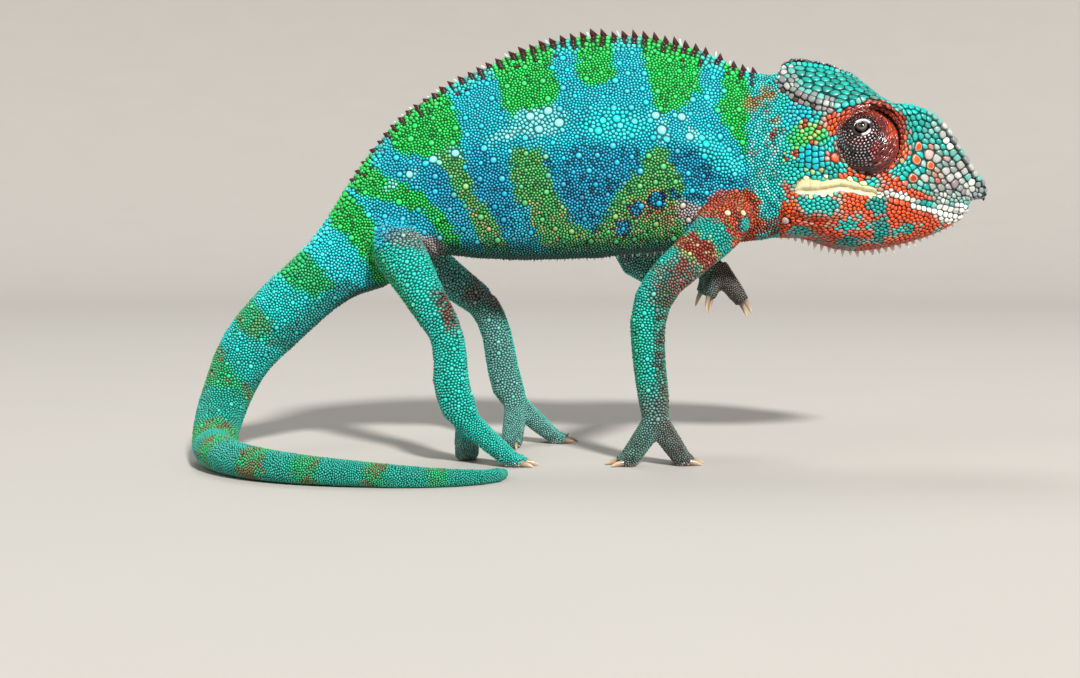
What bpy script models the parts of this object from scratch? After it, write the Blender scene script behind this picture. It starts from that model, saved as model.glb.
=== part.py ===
"""A male panther chameleon, life size, as a still model that stands on a level floor.

Metres, +Z up, the head towards +X and the animal's left side towards +Y. The numbers below are
in millimetres and MM turns them into metres. The right fore foot and both hind feet stand on the
floor, the left hand is lifted, and the tail comes down behind and lies on the floor in a curve.
"""

import math

import bmesh
import bpy
import numpy as np
from mathutils import Vector

MM = 0.001
GAP = 0.3  # clear space between pieces that touch
FLOOR_DIP = 0.5  # how far round toes would sink, which makes the flats of their soles
FLAT_UNDER = 0.4  # toes and tail are flat on the floor where they would be lower than this
TAIL_REST_SHARE = 0.87  # height of the lying tail's middle, as a share of its radius
# Each material's name, colour and roughness.
MATERIALS = {
    "turquoise": ("turquoise_skin", (0.04, 0.42, 0.38), 0.55),
    "cyan": ("cyan_skin", (0.03, 0.36, 0.44), 0.55),
    "casque": ("casque_skin", (0.04, 0.45, 0.37), 0.5),
    "teal": ("teal_skin", (0.03, 0.32, 0.27), 0.55),
    "red": ("red_skin", (0.45, 0.06, 0.02), 0.5),
    "claw": ("claw_horn", (0.35, 0.27, 0.20), 0.4),
    "pupil": ("pupil_glass", (0.01, 0.01, 0.01), 0.1),
}

# Sections across the neck, the trunk and the part of the tail that comes down. Each lies between
# a point of the back and a point of the belly line, both (x, z), with its half-width, where the
# width is greatest (1 at mid-height, more is lower) and how full it is (0.5 is an ellipse).
BODY = {
    "throat": ((48.7, 94.4), (48.7, 54.0), 8.7, 1.15, 0.50),
    "nape": ((42.0, 95.6), (42.5, 53.0), 8.2, 1.20, 0.54),
    "withers": ((34.5, 98.6), (35.5, 52.0), 9.2, 1.25, 0.58),
    "shoulder": ((26.0, 101.4), (27.5, 51.4), 11.0, 1.30, 0.60),
    "chest": ((15.0, 103.8), (17.0, 50.2), 12.2, 1.30, 0.60),
    "middle": ((2.5, 104.0), (3.0, 48.9), 12.6, 1.30, 0.60),
    "flank": ((-10.5, 101.8), (-11.5, 48.6), 12.2, 1.28, 0.60),
    "loin": ((-22.6, 97.0), (-24.5, 48.8), 11.2, 1.25, 0.58),
    "waist": ((-34.4, 91.3), (-34.5, 49.6), 9.8, 1.20, 0.56),
    "hip": ((-44.7, 84.4), (-41.5, 47.8), 9.0, 1.15, 0.54),
    "pelvis": ((-54.2, 73.2), (-45.0, 44.8), 8.2, 1.10, 0.52),
    "rump": ((-62.2, 61.2), (-48.2, 42.2), 7.5, 1.05, 0.50),
    "tail_root": ((-72.2, 49.3), (-60.0, 37.2), 6.6, 1.0, 0.50),
    "tail_upper": ((-82.2, 39.5), (-70.6, 27.8), 6.0, 1.0, 0.50),
    "tail_bend": ((-89.6, 30.0), (-77.8, 21.0), 5.4, 1.0, 0.50),
}
# The rest of the tail: (x, y, z) of its middle and its radius. A z of None lies on the floor.
TAIL_REST = (
    ((-87.2, -1.5, 17.8), 6.5),
    ((-89.0, -6.5, 10.2), 6.0),
    ((-88.2, -15.0, None), 5.5),
    ((-85.0, -25.5, None), 5.0),
    ((-78.0, -35.2, None), 4.5),
    ((-67.5, -42.6, None), 4.0),
    ((-55.0, -47.0, None), 3.5),
    ((-42.5, -48.8, None), 2.95),
    ((-31.5, -48.2, None), 2.4),
    ((-22.6, -45.0, None), 1.95),
    ((-18.0, -38.8, None), 1.5),
    ((-20.2, -33.0, None), 1.1),
    ((-25.4, -32.6, None), 0.75),
)
BODY_SIDES = 20
TAIL_SIDES = 12
RING_STEP = 4.6  # along the body
# How far along the whole line, from the throat, each piece ends, in mm.
NECK_LENGTH = 9.0
TRUNK_LENGTH = 118.5
TAIL_CUTS = (22.0, 46.0, 64.0, 84.0, 106.0, 132.0)

CREST_FIRST, CREST_LAST, CREST_STEP = 11.0, 108.0, 2.6
CREST_HEIGHT, CREST_WIDTH = 2.7, 1.15
CREST_FADE = ((11, 0.95), (18, 1.1), (60, 1.0), (80, 0.75), (108, 0.45))  # by distance along

# The head, by the distance forward of its hind plane: lines in side view (z) and half-widths (y).
HEAD_BACK = 49.0
HEAD_LENGTH = 51.8
CROWN = (
    (0, 96.4), (1.5, 97.9), (3.5, 98.6), (9, 98.0), (14.5, 96.6), (18.5, 94.8), (21.5, 92.4),
    (24, 89.6), (26, 87.0), (29, 84.7), (36, 82.6), (39.8, 79.6), (43.5, 74.8), (47.3, 69.8),
    (50.3, 66.9), (51.8, 65.2),
)
BROW = (
    (0, 92.6), (1.5, 91.2), (4, 89.4), (8, 87.6), (12, 86.6), (17, 86.6), (22.5, 86.8),
    (28.5, 86.0), (32.5, 85.5), (36, 84.2), (39.8, 81.2), (43.5, 76.0), (47.3, 70.6),
    (50.3, 67.6), (51.8, 65.7),
)
BROW_REACH = (
    (0, 4.5), (4, 7.0), (7.3, 8.8), (14.8, 10.2), (22.5, 10.7), (28.5, 9.3), (36, 7.4),
    (43.5, 5.6), (49.3, 3.6), (51.8, 2.0),
)
CHEEK_REACH = (
    (0, 8.7), (7.3, 11.2), (11, 11.7), (18.5, 11.0), (26, 9.6), (32.3, 8.1), (39.8, 6.3),
    (44, 5.2), (45.2, 4.8), (46.2, 4.1), (46.9, 3.0), (47.3, 3.3), (49.2, 3.0), (51.8, 1.8),
)
LIP = (
    (0, 65.0), (7.8, 65.3), (13.5, 66.4), (24, 64.4), (33, 62.3), (41, 60.5), (45.2, 60.2),
    (46.9, 61.0), (47.3, 63.7), (49.2, 64.0), (51.8, 64.3),
)
THROAT = (
    (0, 54.0), (6, 53.8), (10, 52.7), (14, 51.4), (20, 50.7), (26, 51.4), (32, 52.8),
    (37, 54.2), (40, 55.4), (43.5, 57.3), (45.2, 58.4), (46.2, 59.3), (46.9, 60.4),
    (47.3, 63.3), (49.2, 63.6), (51.8, 63.9),
)
# How much the side draws in under the brow, which makes the temple and the eye socket.
TEMPLE_DEPTH = ((0, 0.0), (8, 0.5), (16, 1.0), (22, 2.0), (30, 1.2), (40, 0.4), (51.8, 0.0))
JAW_FULLNESS = ((0, 0.98), (10, 0.96), (20, 0.88), (40, 0.76), (47, 0.66), (51.8, 0.9))
HEAD_SIDES = 26
HEAD_STATIONS = (*range(0, 45, 2), 45.2, 46.2, 46.9, 47.3, 49.2, 50.7, 51.8)

MOUTH_CORNER = 5.4
EYE = {"along": 20.6, "out": 7.5, "height": 77.4, "radius": 8.0, "inner": 4.4}
GAZE = {"right": (-0.40, 0.83, 0.38), "left": (0.45, 0.88, 0.10)}  # forward, outward and up
APERTURE = {"radius": 1.4, "rim": 0.35, "depth": 1.5}
CORNEA_RADIUS = 1.1

# Limbs: joints as (x, y, z) and the radius there. y is outward, so each side mirrors it.
LIMBS = {
    "fore_right": {
        "upper": (((39.0, 1.0, 63.0), 4.4), ((34.0, 10.2, 57.0), 6.3), ((26.5, 15.8, 50.2), 5.3),
                  ((19.6, 18.6, 44.2), 4.9)),
        "lower": (((19.6, 18.6, 44.2), 4.9), ((15.9, 19.2, 37.6), 4.6), ((15.5, 19.2, 29.0), 4.2),
                  ((16.9, 19.0, 16.0), 3.9)),
        "wrist": (17.4, 19.0, 11.0),
        "outer": ((9.6, 20.9, None), (8.4, 18.2, None)),
        "inner": ((25.6, 19.4, None), (26.4, 16.8, None), (25.0, 14.4, None)),
    },
    "fore_left": {
        "upper": (((38.5, 1.0, 62.5), 4.4), ((32.5, 11.0, 57.5), 6.0), ((22.0, 18.5, 54.5), 5.1),
                  ((13.5, 22.0, 52.5), 4.8)),
        "lower": (((13.5, 22.0, 52.5), 4.8), ((17.0, 22.5, 46.8), 4.5), ((24.5, 19.5, 46.8), 4.0),
                  ((32.0, 15.5, 48.4), 3.8)),
        "wrist": (35.8, 14.0, 47.2),
        "outer": ((42.6, 15.4, 37.4), (43.2, 12.6, 38.2)),
        "inner": ((33.6, 11.8, 39.4), (34.6, 14.4, 38.8), (32.2, 16.6, 40.2)),
    },
    "hind_right": {
        "upper": (((-49.0, 0.5, 58.5), 4.6), ((-44.5, 9.4, 51.5), 6.6), ((-38.5, 15.6, 41.8), 5.3),
                  ((-32.2, 18.6, 31.8), 4.4)),
        "lower": (((-32.2, 18.6, 31.8), 4.4), ((-31.2, 19.0, 26.0), 4.2), ((-31.0, 19.0, 20.0), 4.5),
                  ((-29.4, 18.8, 14.2), 4.5)),
        "wrist": (-27.2, 18.6, 10.6),
        "outer": ((-14.0, 16.6, None), (-13.2, 19.2, None), (-14.4, 21.8, None)),
        "inner": ((-29.4, 8.6, None), (-26.6, 7.8, None)),
    },
    "hind_left": {
        "upper": (((-49.0, 0.5, 58.5), 4.6), ((-43.5, 10.2, 52.0), 6.5), ((-34.5, 17.0, 44.5), 5.2),
                  ((-25.5, 20.5, 37.5), 4.5)),
        "lower": (((-25.5, 20.5, 37.5), 4.5), ((-22.2, 21.0, 31.5), 4.2), ((-20.6, 21.0, 24.0), 4.4),
                  ((-18.6, 20.6, 15.0), 4.5)),
        "wrist": (-16.4, 20.4, 10.6),
        "outer": ((-3.4, 18.2, None), (-2.6, 20.8, None), (-3.8, 23.4, None)),
        "inner": ((-19.0, 10.4, None), (-16.2, 9.6, None)),
    },
}
LIMB_SIDES = 10
# A toe: its radius at the palm, the knuckle, the ball and the end. A z of None is on the floor.
TOE = {"sides": 6, "palm": 3.1, "knuckle": 2.45, "ball": 1.9, "end": 1.4}
CLAW = {"sides": 5, "length": 2.6, "radius": 0.65, "tip": 0.12}


# ---------------------------------------------------------------- curves and frames
def through(knots, at):
    """Smooth values through (place, value) knots that never swing past the knots."""
    place = np.array([knot[0] for knot in knots], float)
    value = np.array([knot[1] for knot in knots], float)
    flat = value.ndim == 1
    value = value.reshape(len(place), -1)
    step = np.diff(place)[:, None]
    slope = np.diff(value, axis=0) / step
    tangent = np.zeros_like(value)
    before, after = slope[:-1], slope[1:]
    same_way = before * after > 0
    mean = np.where(same_way, 2 * before * after / np.where(same_way, before + after, 1), 0)
    tangent[1:-1] = mean
    tangent[0], tangent[-1] = slope[0], slope[-1]
    at = np.clip(np.atleast_1d(at), place[0], place[-1])
    k = np.clip(np.searchsorted(place, at, side="right") - 1, 0, len(place) - 2)
    h = step[k]
    t = ((at - place[k])[:, None]) / h
    found = (
        (1 + 2 * t) * (1 - t) ** 2 * value[k]
        + t * (1 - t) ** 2 * h * tangent[k]
        + t * t * (3 - 2 * t) * value[k + 1]
        + t * t * (t - 1) * h * tangent[k + 1]
    )
    return found[:, 0] if flat else found


def smooth_path(points, at):
    """Points on a round curve through the given points, at distances along it."""
    points = np.array(points, float)
    reach = np.concatenate([[0], np.cumsum(np.linalg.norm(np.diff(points, axis=0), axis=1))])
    gaps = np.diff(reach)[:, None]
    slope = np.diff(points, axis=0) / gaps
    tangent = np.empty_like(points)
    tangent[1:-1] = (slope[:-1] * gaps[1:] + slope[1:] * gaps[:-1]) / (gaps[:-1] + gaps[1:])
    tangent[0], tangent[-1] = slope[0], slope[-1]
    at = np.atleast_1d(at)
    k = np.clip(np.searchsorted(reach, at, side="right") - 1, 0, len(reach) - 2)
    h = gaps[k]
    t = ((at - reach[k])[:, None]) / h
    return (
        (1 + 2 * t) * (1 - t) ** 2 * points[k]
        + t * (1 - t) ** 2 * h * tangent[k]
        + t * t * (3 - 2 * t) * points[k + 1]
        + t * t * (t - 1) * h * tangent[k + 1]
    )


def length_of(points):
    return float(np.linalg.norm(np.diff(np.array(points, float), axis=0), axis=1).sum())


def carried_frames(points, first_up):
    """An up vector at each point of a line, turned as little as the line allows."""
    tangents = np.gradient(points, axis=0)
    tangents /= np.linalg.norm(tangents, axis=1)[:, None]
    ups = []
    up = np.array(first_up, float)
    for tangent in tangents:
        up = up - tangent * (up @ tangent)
        up /= np.linalg.norm(up)
        ups.append(up)
    return tangents, np.array(ups)


def flat_below(points):
    """The points, with the lowest ones put on the floor."""
    return np.where(points[..., 2:] < FLAT_UNDER, points * (1, 1, 0), points)


# ---------------------------------------------------------------- making meshes
def add_object(name, mesh, colour):
    obj = bpy.data.objects.new(name, mesh)
    bpy.data.collections[COLLECTION].objects.link(obj)
    slot, base, roughness = MATERIALS[colour]
    material = bpy.data.materials.get(slot) or bpy.data.materials.new(slot)
    material.use_nodes = True
    shader = material.node_tree.nodes["Principled BSDF"]
    shader.inputs["Base Color"].default_value = (*base, 1)
    shader.inputs["Roughness"].default_value = roughness
    obj.data.materials.append(material)
    return obj


def lofted(name, rings, colour):
    """A closed solid through rings of points, with a flat face at each end."""
    rings = np.array(rings, float)
    count, sides = rings.shape[:2]
    points = rings.reshape(-1, 3) * MM
    faces = [
        (r * sides + s, r * sides + (s + 1) % sides,
         (r + 1) * sides + (s + 1) % sides, (r + 1) * sides + s)
        for r in range(count - 1)
        for s in range(sides)
    ]
    faces.append(tuple(range(sides))[::-1])
    faces.append(tuple((count - 1) * sides + s for s in range(sides)))
    mesh = bpy.data.meshes.new(name)
    mesh.from_pydata([tuple(p) for p in points], [], faces)
    tidy(mesh)
    return add_object(name, mesh, colour)


def tidy(mesh):
    """Merges doubled points and points the faces outwards."""
    work = bmesh.new()
    work.from_mesh(mesh)
    bmesh.ops.remove_doubles(work, verts=work.verts, dist=0.01 * MM)
    bmesh.ops.triangulate(work, faces=[f for f in work.faces if len(f.verts) > 4])
    bmesh.ops.recalc_face_normals(work, faces=work.faces)
    work.to_mesh(mesh)
    work.free()
    mesh.shade_smooth()


def tube(name, knots, sides, colour, swell=0.0, rings=0, up=(0, 0.3, 1), sole=False):
    """A round tapered limb through (middle, radius) knots, with a ring at each unless told.

    Swell makes a larger copy of it, and sole makes it flat where it meets the floor.
    """
    middles = [knot[0] for knot in knots]
    ends = [0] + list(np.cumsum([length_of(middles[k:k + 2]) for k in range(len(middles) - 1)]))
    at = np.linspace(0, ends[-1], rings) if rings else np.array(ends)
    line = smooth_path(middles, at)
    radius = through(list(zip(ends, [knot[1] for knot in knots])), at)
    tangents, ups = carried_frames(line, up)
    sideways = np.cross(tangents, ups)
    line[0] -= tangents[0] * swell
    line[-1] += tangents[-1] * swell
    turn = math.pi + (np.arange(sides) + 0.5) * 2 * math.pi / sides
    spokes = ups[:, None] * np.cos(turn)[None, :, None]
    spokes = spokes + sideways[:, None] * np.sin(turn)[None, :, None]
    rings_of_points = line[:, None] + spokes * (radius + swell)[:, None, None]
    return lofted(name, flat_below(rings_of_points) if sole else rings_of_points, colour)


def combine(target, other, operation):
    """Joins other to target, or cuts it away, and removes other."""
    modifier = target.modifiers.new(operation.title(), "BOOLEAN")
    modifier.operation = operation
    modifier.solver = "EXACT"
    modifier.object = other
    bake(target)
    bpy.data.objects.remove(other)


def bake(obj):
    """Turns an object's modifiers into plain mesh."""
    bpy.context.view_layer.update()
    graph = bpy.context.evaluated_depsgraph_get()
    mesh = bpy.data.meshes.new_from_object(obj.evaluated_get(graph))
    obj.modifiers.clear()
    obj.data = mesh


def cut_with(target, make_cutter):
    combine(target, make_cutter(), "DIFFERENCE")


# ---------------------------------------------------------------- neck, trunk and tail
def body_line():
    """Middle, up vector, half-height, half-width and shape at each station, throat to tail tip."""
    middles, ups, halves, widths, shapes = [], [], [], [], []
    for back, belly, half_width, lowness, fullness in BODY.values():
        back = np.array((back[0], 0, back[1]))
        belly = np.array((belly[0], 0, belly[1]))
        middles.append((back + belly) / 2)
        halves.append(np.linalg.norm(back - belly) / 2)
        ups.append((back - belly) / np.linalg.norm(back - belly))
        widths.append(half_width)
        shapes.append((lowness, fullness))
    for (x, y, z), radius in TAIL_REST:
        middles.append(np.array((x, y, radius * TAIL_REST_SHARE if z is None else z)))
        halves.append(radius)
        widths.append(radius * 0.94)
        shapes.append((1.0, 0.5))
    reach = np.concatenate([[0], np.cumsum(np.linalg.norm(np.diff(middles, axis=0), axis=1))])
    return np.array(middles), np.array(ups), halves, widths, shapes, reach


def body_rings(start, end, sides, swell=0.0, step=RING_STEP):
    """Rings across the body from one distance along it to another."""
    middles, ups, halves, widths, shapes, reach = body_line()
    fine = np.linspace(0, reach[-1], 900)
    line = smooth_path(middles, fine)
    along, carried = carried_frames(line, ups[0])
    # Down the body the sections keep the up vectors of their stations; past them it is carried.
    last = len(ups) - 1
    given = through(list(zip(reach[:last + 1], ups)), fine)
    bend = np.searchsorted(fine, reach[last])
    _, after = carried_frames(line[bend:], ups[last])
    carried[:bend], carried[bend:] = given[:bend], after
    carried /= np.linalg.norm(carried, axis=1)[:, None]

    at = np.linspace(start, end, max(2, round((end - start) / step) + 1))
    def sample(values):
        return np.stack([np.interp(at, fine, column) for column in values.T], 1)
    middle, up, forward = sample(line), sample(carried), sample(along)
    up /= np.linalg.norm(up, axis=1)[:, None]
    side = np.cross(up, forward)
    side /= np.linalg.norm(side, axis=1)[:, None]
    half = through(list(zip(reach, halves)), at) + swell
    width = through(list(zip(reach, widths)), at) + swell
    lowness, fullness = through(list(zip(reach, shapes)), at).T

    turn = np.linspace(0, 2 * math.pi, sides, endpoint=False)
    depth = (1 - np.cos(turn)) / 2
    rings = []
    for k in range(len(at)):
        out = np.sin(math.pi * depth ** lowness[k]).clip(0) ** fullness[k] * np.sign(np.sin(turn))
        ring = (
            middle[k]
            + up[k] * (half[k] * np.cos(turn))[:, None]
            + side[k] * (width[k] * out)[:, None]
        )
        rings.append(flat_below(ring))
    return np.array(rings)


def crest_cones():
    """The conical scales along the back, as one mesh of separate cones."""
    work = bmesh.new()
    count = round((CREST_LAST - CREST_FIRST) / CREST_STEP) + 1
    for k, at in enumerate(np.linspace(CREST_FIRST, CREST_LAST, count)):
        ring = body_rings(at, at + 1.0, 8)[0]
        top, belly = ring[0], ring[4]
        up = (top - belly) / np.linalg.norm(top - belly)
        height = CREST_HEIGHT * np.interp(at, *zip(*CREST_FADE)) * (1.0 if k % 2 else 0.8)
        root = top - up * 1.4
        made = bmesh.ops.create_cone(
            work, cap_ends=True, segments=4, radius1=CREST_WIDTH * MM, radius2=0,
            depth=(height + 1.4) * MM,
        )["verts"]
        turn = Vector((0, 0, 1)).rotation_difference(Vector(up - 0.35 * np.array((1, 0, 0.2))))
        middle = Vector((root + up * (height + 1.4) / 2) * MM)
        bmesh.ops.transform(work, matrix=turn.to_matrix().to_4x4(), verts=made)
        bmesh.ops.translate(work, vec=middle, verts=made)
    mesh = bpy.data.meshes.new("crest")
    work.to_mesh(mesh)
    work.free()
    return add_object("crest", mesh, "red")


def make_body():
    lofted("neck", body_rings(0, NECK_LENGTH, BODY_SIDES), "turquoise")
    trunk_rings = body_rings(NECK_LENGTH + GAP, TRUNK_LENGTH, BODY_SIDES)
    trunk = lofted("trunk", trunk_rings, "cyan")
    combine(trunk, crest_cones(), "UNION")
    start = TRUNK_LENGTH + GAP
    end = body_line()[-1][-1]
    cuts = [TRUNK_LENGTH + cut for cut in TAIL_CUTS] + [end]
    for number, cut in enumerate(cuts, 1):
        rings = body_rings(start, cut, TAIL_SIDES)
        if cut == end:
            rings[-1] = rings[-1].mean(0) + (rings[-1] - rings[-1].mean(0)) * 0.5
        lofted(f"tail_{number}", rings, "teal")
        start = cut + GAP


def swollen_body():
    """A slightly larger neck and trunk, which clears room for them in the limbs."""
    return lofted("cutter", body_rings(-2, TRUNK_LENGTH + 30, BODY_SIDES, swell=GAP), "cyan")


# ---------------------------------------------------------------- head
def head_rings():
    """Rings across the head: crown, brow, temple, cheek, lip, jaw, throat and back again."""
    at = np.array(HEAD_STATIONS, float)
    crown, brow, lip, throat = (through(line, at) for line in (CROWN, BROW, LIP, THROAT))
    brow_y, cheek_y = through(BROW_REACH, at), through(CHEEK_REACH, at)
    temple, jaw = through(TEMPLE_DEPTH, at), through(JAW_FULLNESS, at)
    on_casque = 1 / (1 + np.exp((at - 26) / 1.5))  # 1 on the casque, 0 on the snout
    rings = []
    for k, x in enumerate(at):
        side = brow[k] - lip[k]
        deep = lip[k] - throat[k]
        half = [
            (0, crown[k]),
            (brow_y[k] * 0.5, (crown[k] + brow[k]) / 2 + 0.9 * on_casque[k]),
            (brow_y[k] * 0.93, brow[k] + 0.35),
            (brow_y[k], brow[k] - 0.5),
            ((brow_y[k] + cheek_y[k]) / 2 - temple[k], brow[k] - 0.32 * side),
            (cheek_y[k] * 0.99, brow[k] - 0.72 * side),
            (cheek_y[k] * 0.99, lip[k] + 0.10 * side),
            (cheek_y[k] * 0.96, lip[k]),
            (cheek_y[k] * jaw[k], lip[k] - 0.38 * deep),
            (cheek_y[k] * jaw[k] * 0.66, lip[k] - 0.80 * deep),
            (0, throat[k]),
        ]
        half = np.array([(x + HEAD_BACK, y, z) for y, z in half])
        mirrored = half[-2:0:-1] * (1, -1, 1)
        ring = np.concatenate([half, mirrored, half[:1]])
        around = np.linspace(0, length_of(ring), HEAD_SIDES, endpoint=False)
        rings.append(smooth_path(ring, around))
    return np.array(rings)


def lip_prism(name, rise, back):
    """Everything under the mouth line, which divides the lower jaw from the skull."""
    xs = np.linspace(MOUTH_CORNER, HEAD_LENGTH + 2, 14)
    top = [(HEAD_BACK + x, z + rise) for x, z in zip(xs, through(LIP[:7], xs))]
    corner = (HEAD_BACK + MOUTH_CORNER - back, top[0][1])
    outline = [*top, (top[-1][0], 30), (HEAD_BACK + MOUTH_CORNER - 3.5 - back, 30), corner]
    work = bmesh.new()
    near = [work.verts.new((x * MM, -20 * MM, z * MM)) for x, z in outline]
    face = work.faces.new(near)
    moved = bmesh.ops.extrude_face_region(work, geom=[face])["geom"]
    far = [item for item in moved if isinstance(item, bmesh.types.BMVert)]
    bmesh.ops.translate(work, vec=(0, 40 * MM, 0), verts=far)
    bmesh.ops.recalc_face_normals(work, faces=work.faces)
    mesh = bpy.data.meshes.new(name)
    work.to_mesh(mesh)
    work.free()
    return add_object(name, mesh, "red")


def eye_centre(side):
    return Vector((HEAD_BACK + EYE["along"], side * EYE["out"], EYE["height"])) * MM


def eyeball_cutter(side):
    work = bmesh.new()
    bmesh.ops.create_uvsphere(
        work, u_segments=15, v_segments=9, radius=(EYE["radius"] + GAP) * MM
    )
    mesh = bpy.data.meshes.new("socket")
    work.to_mesh(mesh)
    work.free()
    socket = add_object("socket", mesh, "red")
    socket.location = eye_centre(side)
    return socket


def make_head():
    rings = head_rings()
    skull = lofted("head", rings, "casque")
    jaw = lofted("lower_jaw", rings, "red")
    combine(jaw, lip_prism("under_lip", -GAP / 2, 0), "INTERSECT")
    combine(skull, lip_prism("over_lip", GAP / 2, GAP), "DIFFERENCE")
    for side in (-1, 1):
        combine(skull, eyeball_cutter(side), "DIFFERENCE")


def make_eye(name, side):
    """A turret of fused lids, turned about the line of sight, and the cornea in its opening."""
    radius = EYE["radius"]
    hole = math.asin(APERTURE["radius"] / radius)
    profile = [(APERTURE["radius"], radius - APERTURE["depth"])]
    profile.append((APERTURE["radius"], radius + APERTURE["rim"] * 0.6))
    profile.append((APERTURE["radius"] + 0.5, radius + APERTURE["rim"]))
    for turn in np.linspace(hole + 0.24, math.pi - 0.02, 9):
        profile.append((radius * math.sin(turn), radius * math.cos(turn)))
    mesh = bpy.data.meshes.new(name)
    points = [(0, 0, (radius - APERTURE["depth"]) * MM)]
    points += [(r * MM, 0, z * MM) for r, z in profile]
    points.append((0, 0, -radius * MM))
    mesh.from_pydata(points, [(k, k + 1) for k in range(len(points) - 1)], [])
    turret = add_object(f"eye_turret_{name}", mesh, "red")
    screw = turret.modifiers.new("Turn", "SCREW")
    screw.steps = screw.render_steps = 16
    screw.use_merge_vertices = True
    screw.merge_threshold = 0.01 * MM
    bake(turret)
    tidy(turret.data)
    gaze = Vector((GAZE[name][0], side * GAZE[name][1], GAZE[name][2])).normalized()
    turn = Vector((0, 0, 1)).rotation_difference(gaze).to_matrix().to_4x4()
    turret.data.transform(turn)
    turret.location = eye_centre(side)

    work = bmesh.new()
    bmesh.ops.create_cube(work, size=1)
    bmesh.ops.scale(work, vec=(30 * MM, 2 * EYE["inner"] * MM, 30 * MM), verts=work.verts)
    bmesh.ops.translate(work, vec=(eye_centre(1).x, 0, eye_centre(1).z), verts=work.verts)
    box = bpy.data.meshes.new("inner_side")
    work.to_mesh(box)
    work.free()
    combine(turret, add_object("inner_side", box, "red"), "DIFFERENCE")

    work = bmesh.new()
    bmesh.ops.create_uvsphere(work, u_segments=10, v_segments=6, radius=CORNEA_RADIUS * MM)
    ball = bpy.data.meshes.new(name)
    work.to_mesh(ball)
    work.free()
    cornea = add_object(f"eye_{name}", ball, "pupil")
    depth = radius - APERTURE["depth"] + CORNEA_RADIUS + GAP
    cornea.location = eye_centre(side) + gaze * depth * MM


# ---------------------------------------------------------------- limbs
def flipped(knots, side):
    return [((x, y * side, z), radius) for (x, y, z), radius in knots]


def toe_knots(wrist, tip):
    """A toe from the palm out to its tip; a standing one lies on the floor from its ball on."""
    wrist = np.array(wrist, float)
    ball, end = TOE["ball"], TOE["end"]
    if tip[2] is None:
        flat = np.array((*tip[:2], end - FLOOR_DIP))
        way = (flat - wrist) * (1, 1, 0)
        rest = np.array((0, 0, 1))
        knuckle = wrist + way * 0.48 + rest * (0.46 * wrist[2] - wrist[2])
        ball_at = wrist + way * 0.80 + rest * (ball - FLOOR_DIP - wrist[2])
    else:
        flat = np.array(tip, float)
        way = flat - wrist
        knuckle, ball_at = wrist + way * 0.48, wrist + way * 0.80
    root = wrist * 0.9 + knuckle * 0.1
    return (
        (tuple(root), TOE["palm"]), (tuple(knuckle), TOE["knuckle"]),
        (tuple(ball_at), ball), (tuple(flat), end),
    )


def make_bundle(name, wrist, tips, side, swell=0.0):
    """The fused toes of one half of a foot, as one solid."""
    bundle = None
    for number, tip in enumerate(tips):
        knots = toe_knots(wrist, (tip[0], tip[1] * side, tip[2]))
        toe = tube(
            f"{name}_{number}", knots, TOE["sides"], "teal", swell, up=(0, 0, 1), sole=True
        )
        if bundle is None:
            bundle = toe
            bundle.name = name
        else:
            combine(bundle, toe, "UNION")
    return bundle


def make_claw(name, wrist, tip, side):
    """A hooked claw just past a toe's tip, bent down towards the floor."""
    knots = toe_knots(wrist, (tip[0], tip[1] * side, tip[2]))
    end = np.array(knots[-1][0])
    way = end - np.array(knots[-2][0])
    reach, radius = CLAW["length"], CLAW["radius"]
    drop = np.array((0, 0, 0.45))
    if tip[2] is None:
        way[2], drop[2] = 0, (end[2] - 0.3) / reach
    way /= np.linalg.norm(way)
    start = end + way * (GAP + 0.04)
    knots = [
        (tuple(start + way * reach * share - drop * reach * share ** 2), radius * size)
        for share, size in ((0, 1), (0.5, 0.72), (1, CLAW["tip"] / radius))
    ]
    return tube(name, knots, CLAW["sides"], "claw")


def make_limb(name, limb):
    side = -1 if name.endswith("right") else 1
    joint_names = ("upper_arm", "forearm") if name.startswith("fore") else ("thigh", "shank")
    label = name.split("_")[1]
    foot = "hand" if name.startswith("fore") else "foot"
    upper_knots, lower_knots = flipped(limb["upper"], side), flipped(limb["lower"], side)
    wrist = (limb["wrist"][0], limb["wrist"][1] * side, limb["wrist"][2])
    lower_knots.append((wrist, TOE["palm"] + 0.3))

    def swollen_lower():
        return tube("cutter", lower_knots, LIMB_SIDES, "teal", GAP, rings=7)

    upper = tube(f"{joint_names[0]}_{label}", upper_knots, LIMB_SIDES, "cyan", rings=7)
    lower = tube(f"{joint_names[1]}_{label}", lower_knots, LIMB_SIDES, "teal", rings=7)
    cut_with(upper, swollen_body)
    cut_with(upper, swollen_lower)
    cut_with(lower, swollen_body)
    outer = make_bundle(f"{foot}_outer_{label}", wrist, limb["outer"], side)
    cut_with(outer, swollen_lower)
    inner = make_bundle(f"{foot}_inner_{label}", wrist, limb["inner"], side)
    cut_with(inner, swollen_lower)
    cut_with(inner, lambda: make_bundle("cutter", wrist, limb["outer"], side, GAP))
    for half in ("outer", "inner"):
        for number, tip in enumerate(limb[half], 1):
            make_claw(f"claw_{foot}_{half}_{label}_{number}", wrist, tip, side)


# ---------------------------------------------------------------- the whole animal
def centre_on_floor():
    """Moves the animal so that the middle of its box is over the origin."""
    bpy.context.view_layer.update()
    corners = np.array([
        obj.matrix_world @ Vector(corner) for obj in bpy.data.objects for corner in obj.bound_box
    ])
    middle = (corners.min(0) + corners.max(0)) / 2
    for obj in bpy.data.objects:
        obj.location -= Vector((middle[0], middle[1], 0))


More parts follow.
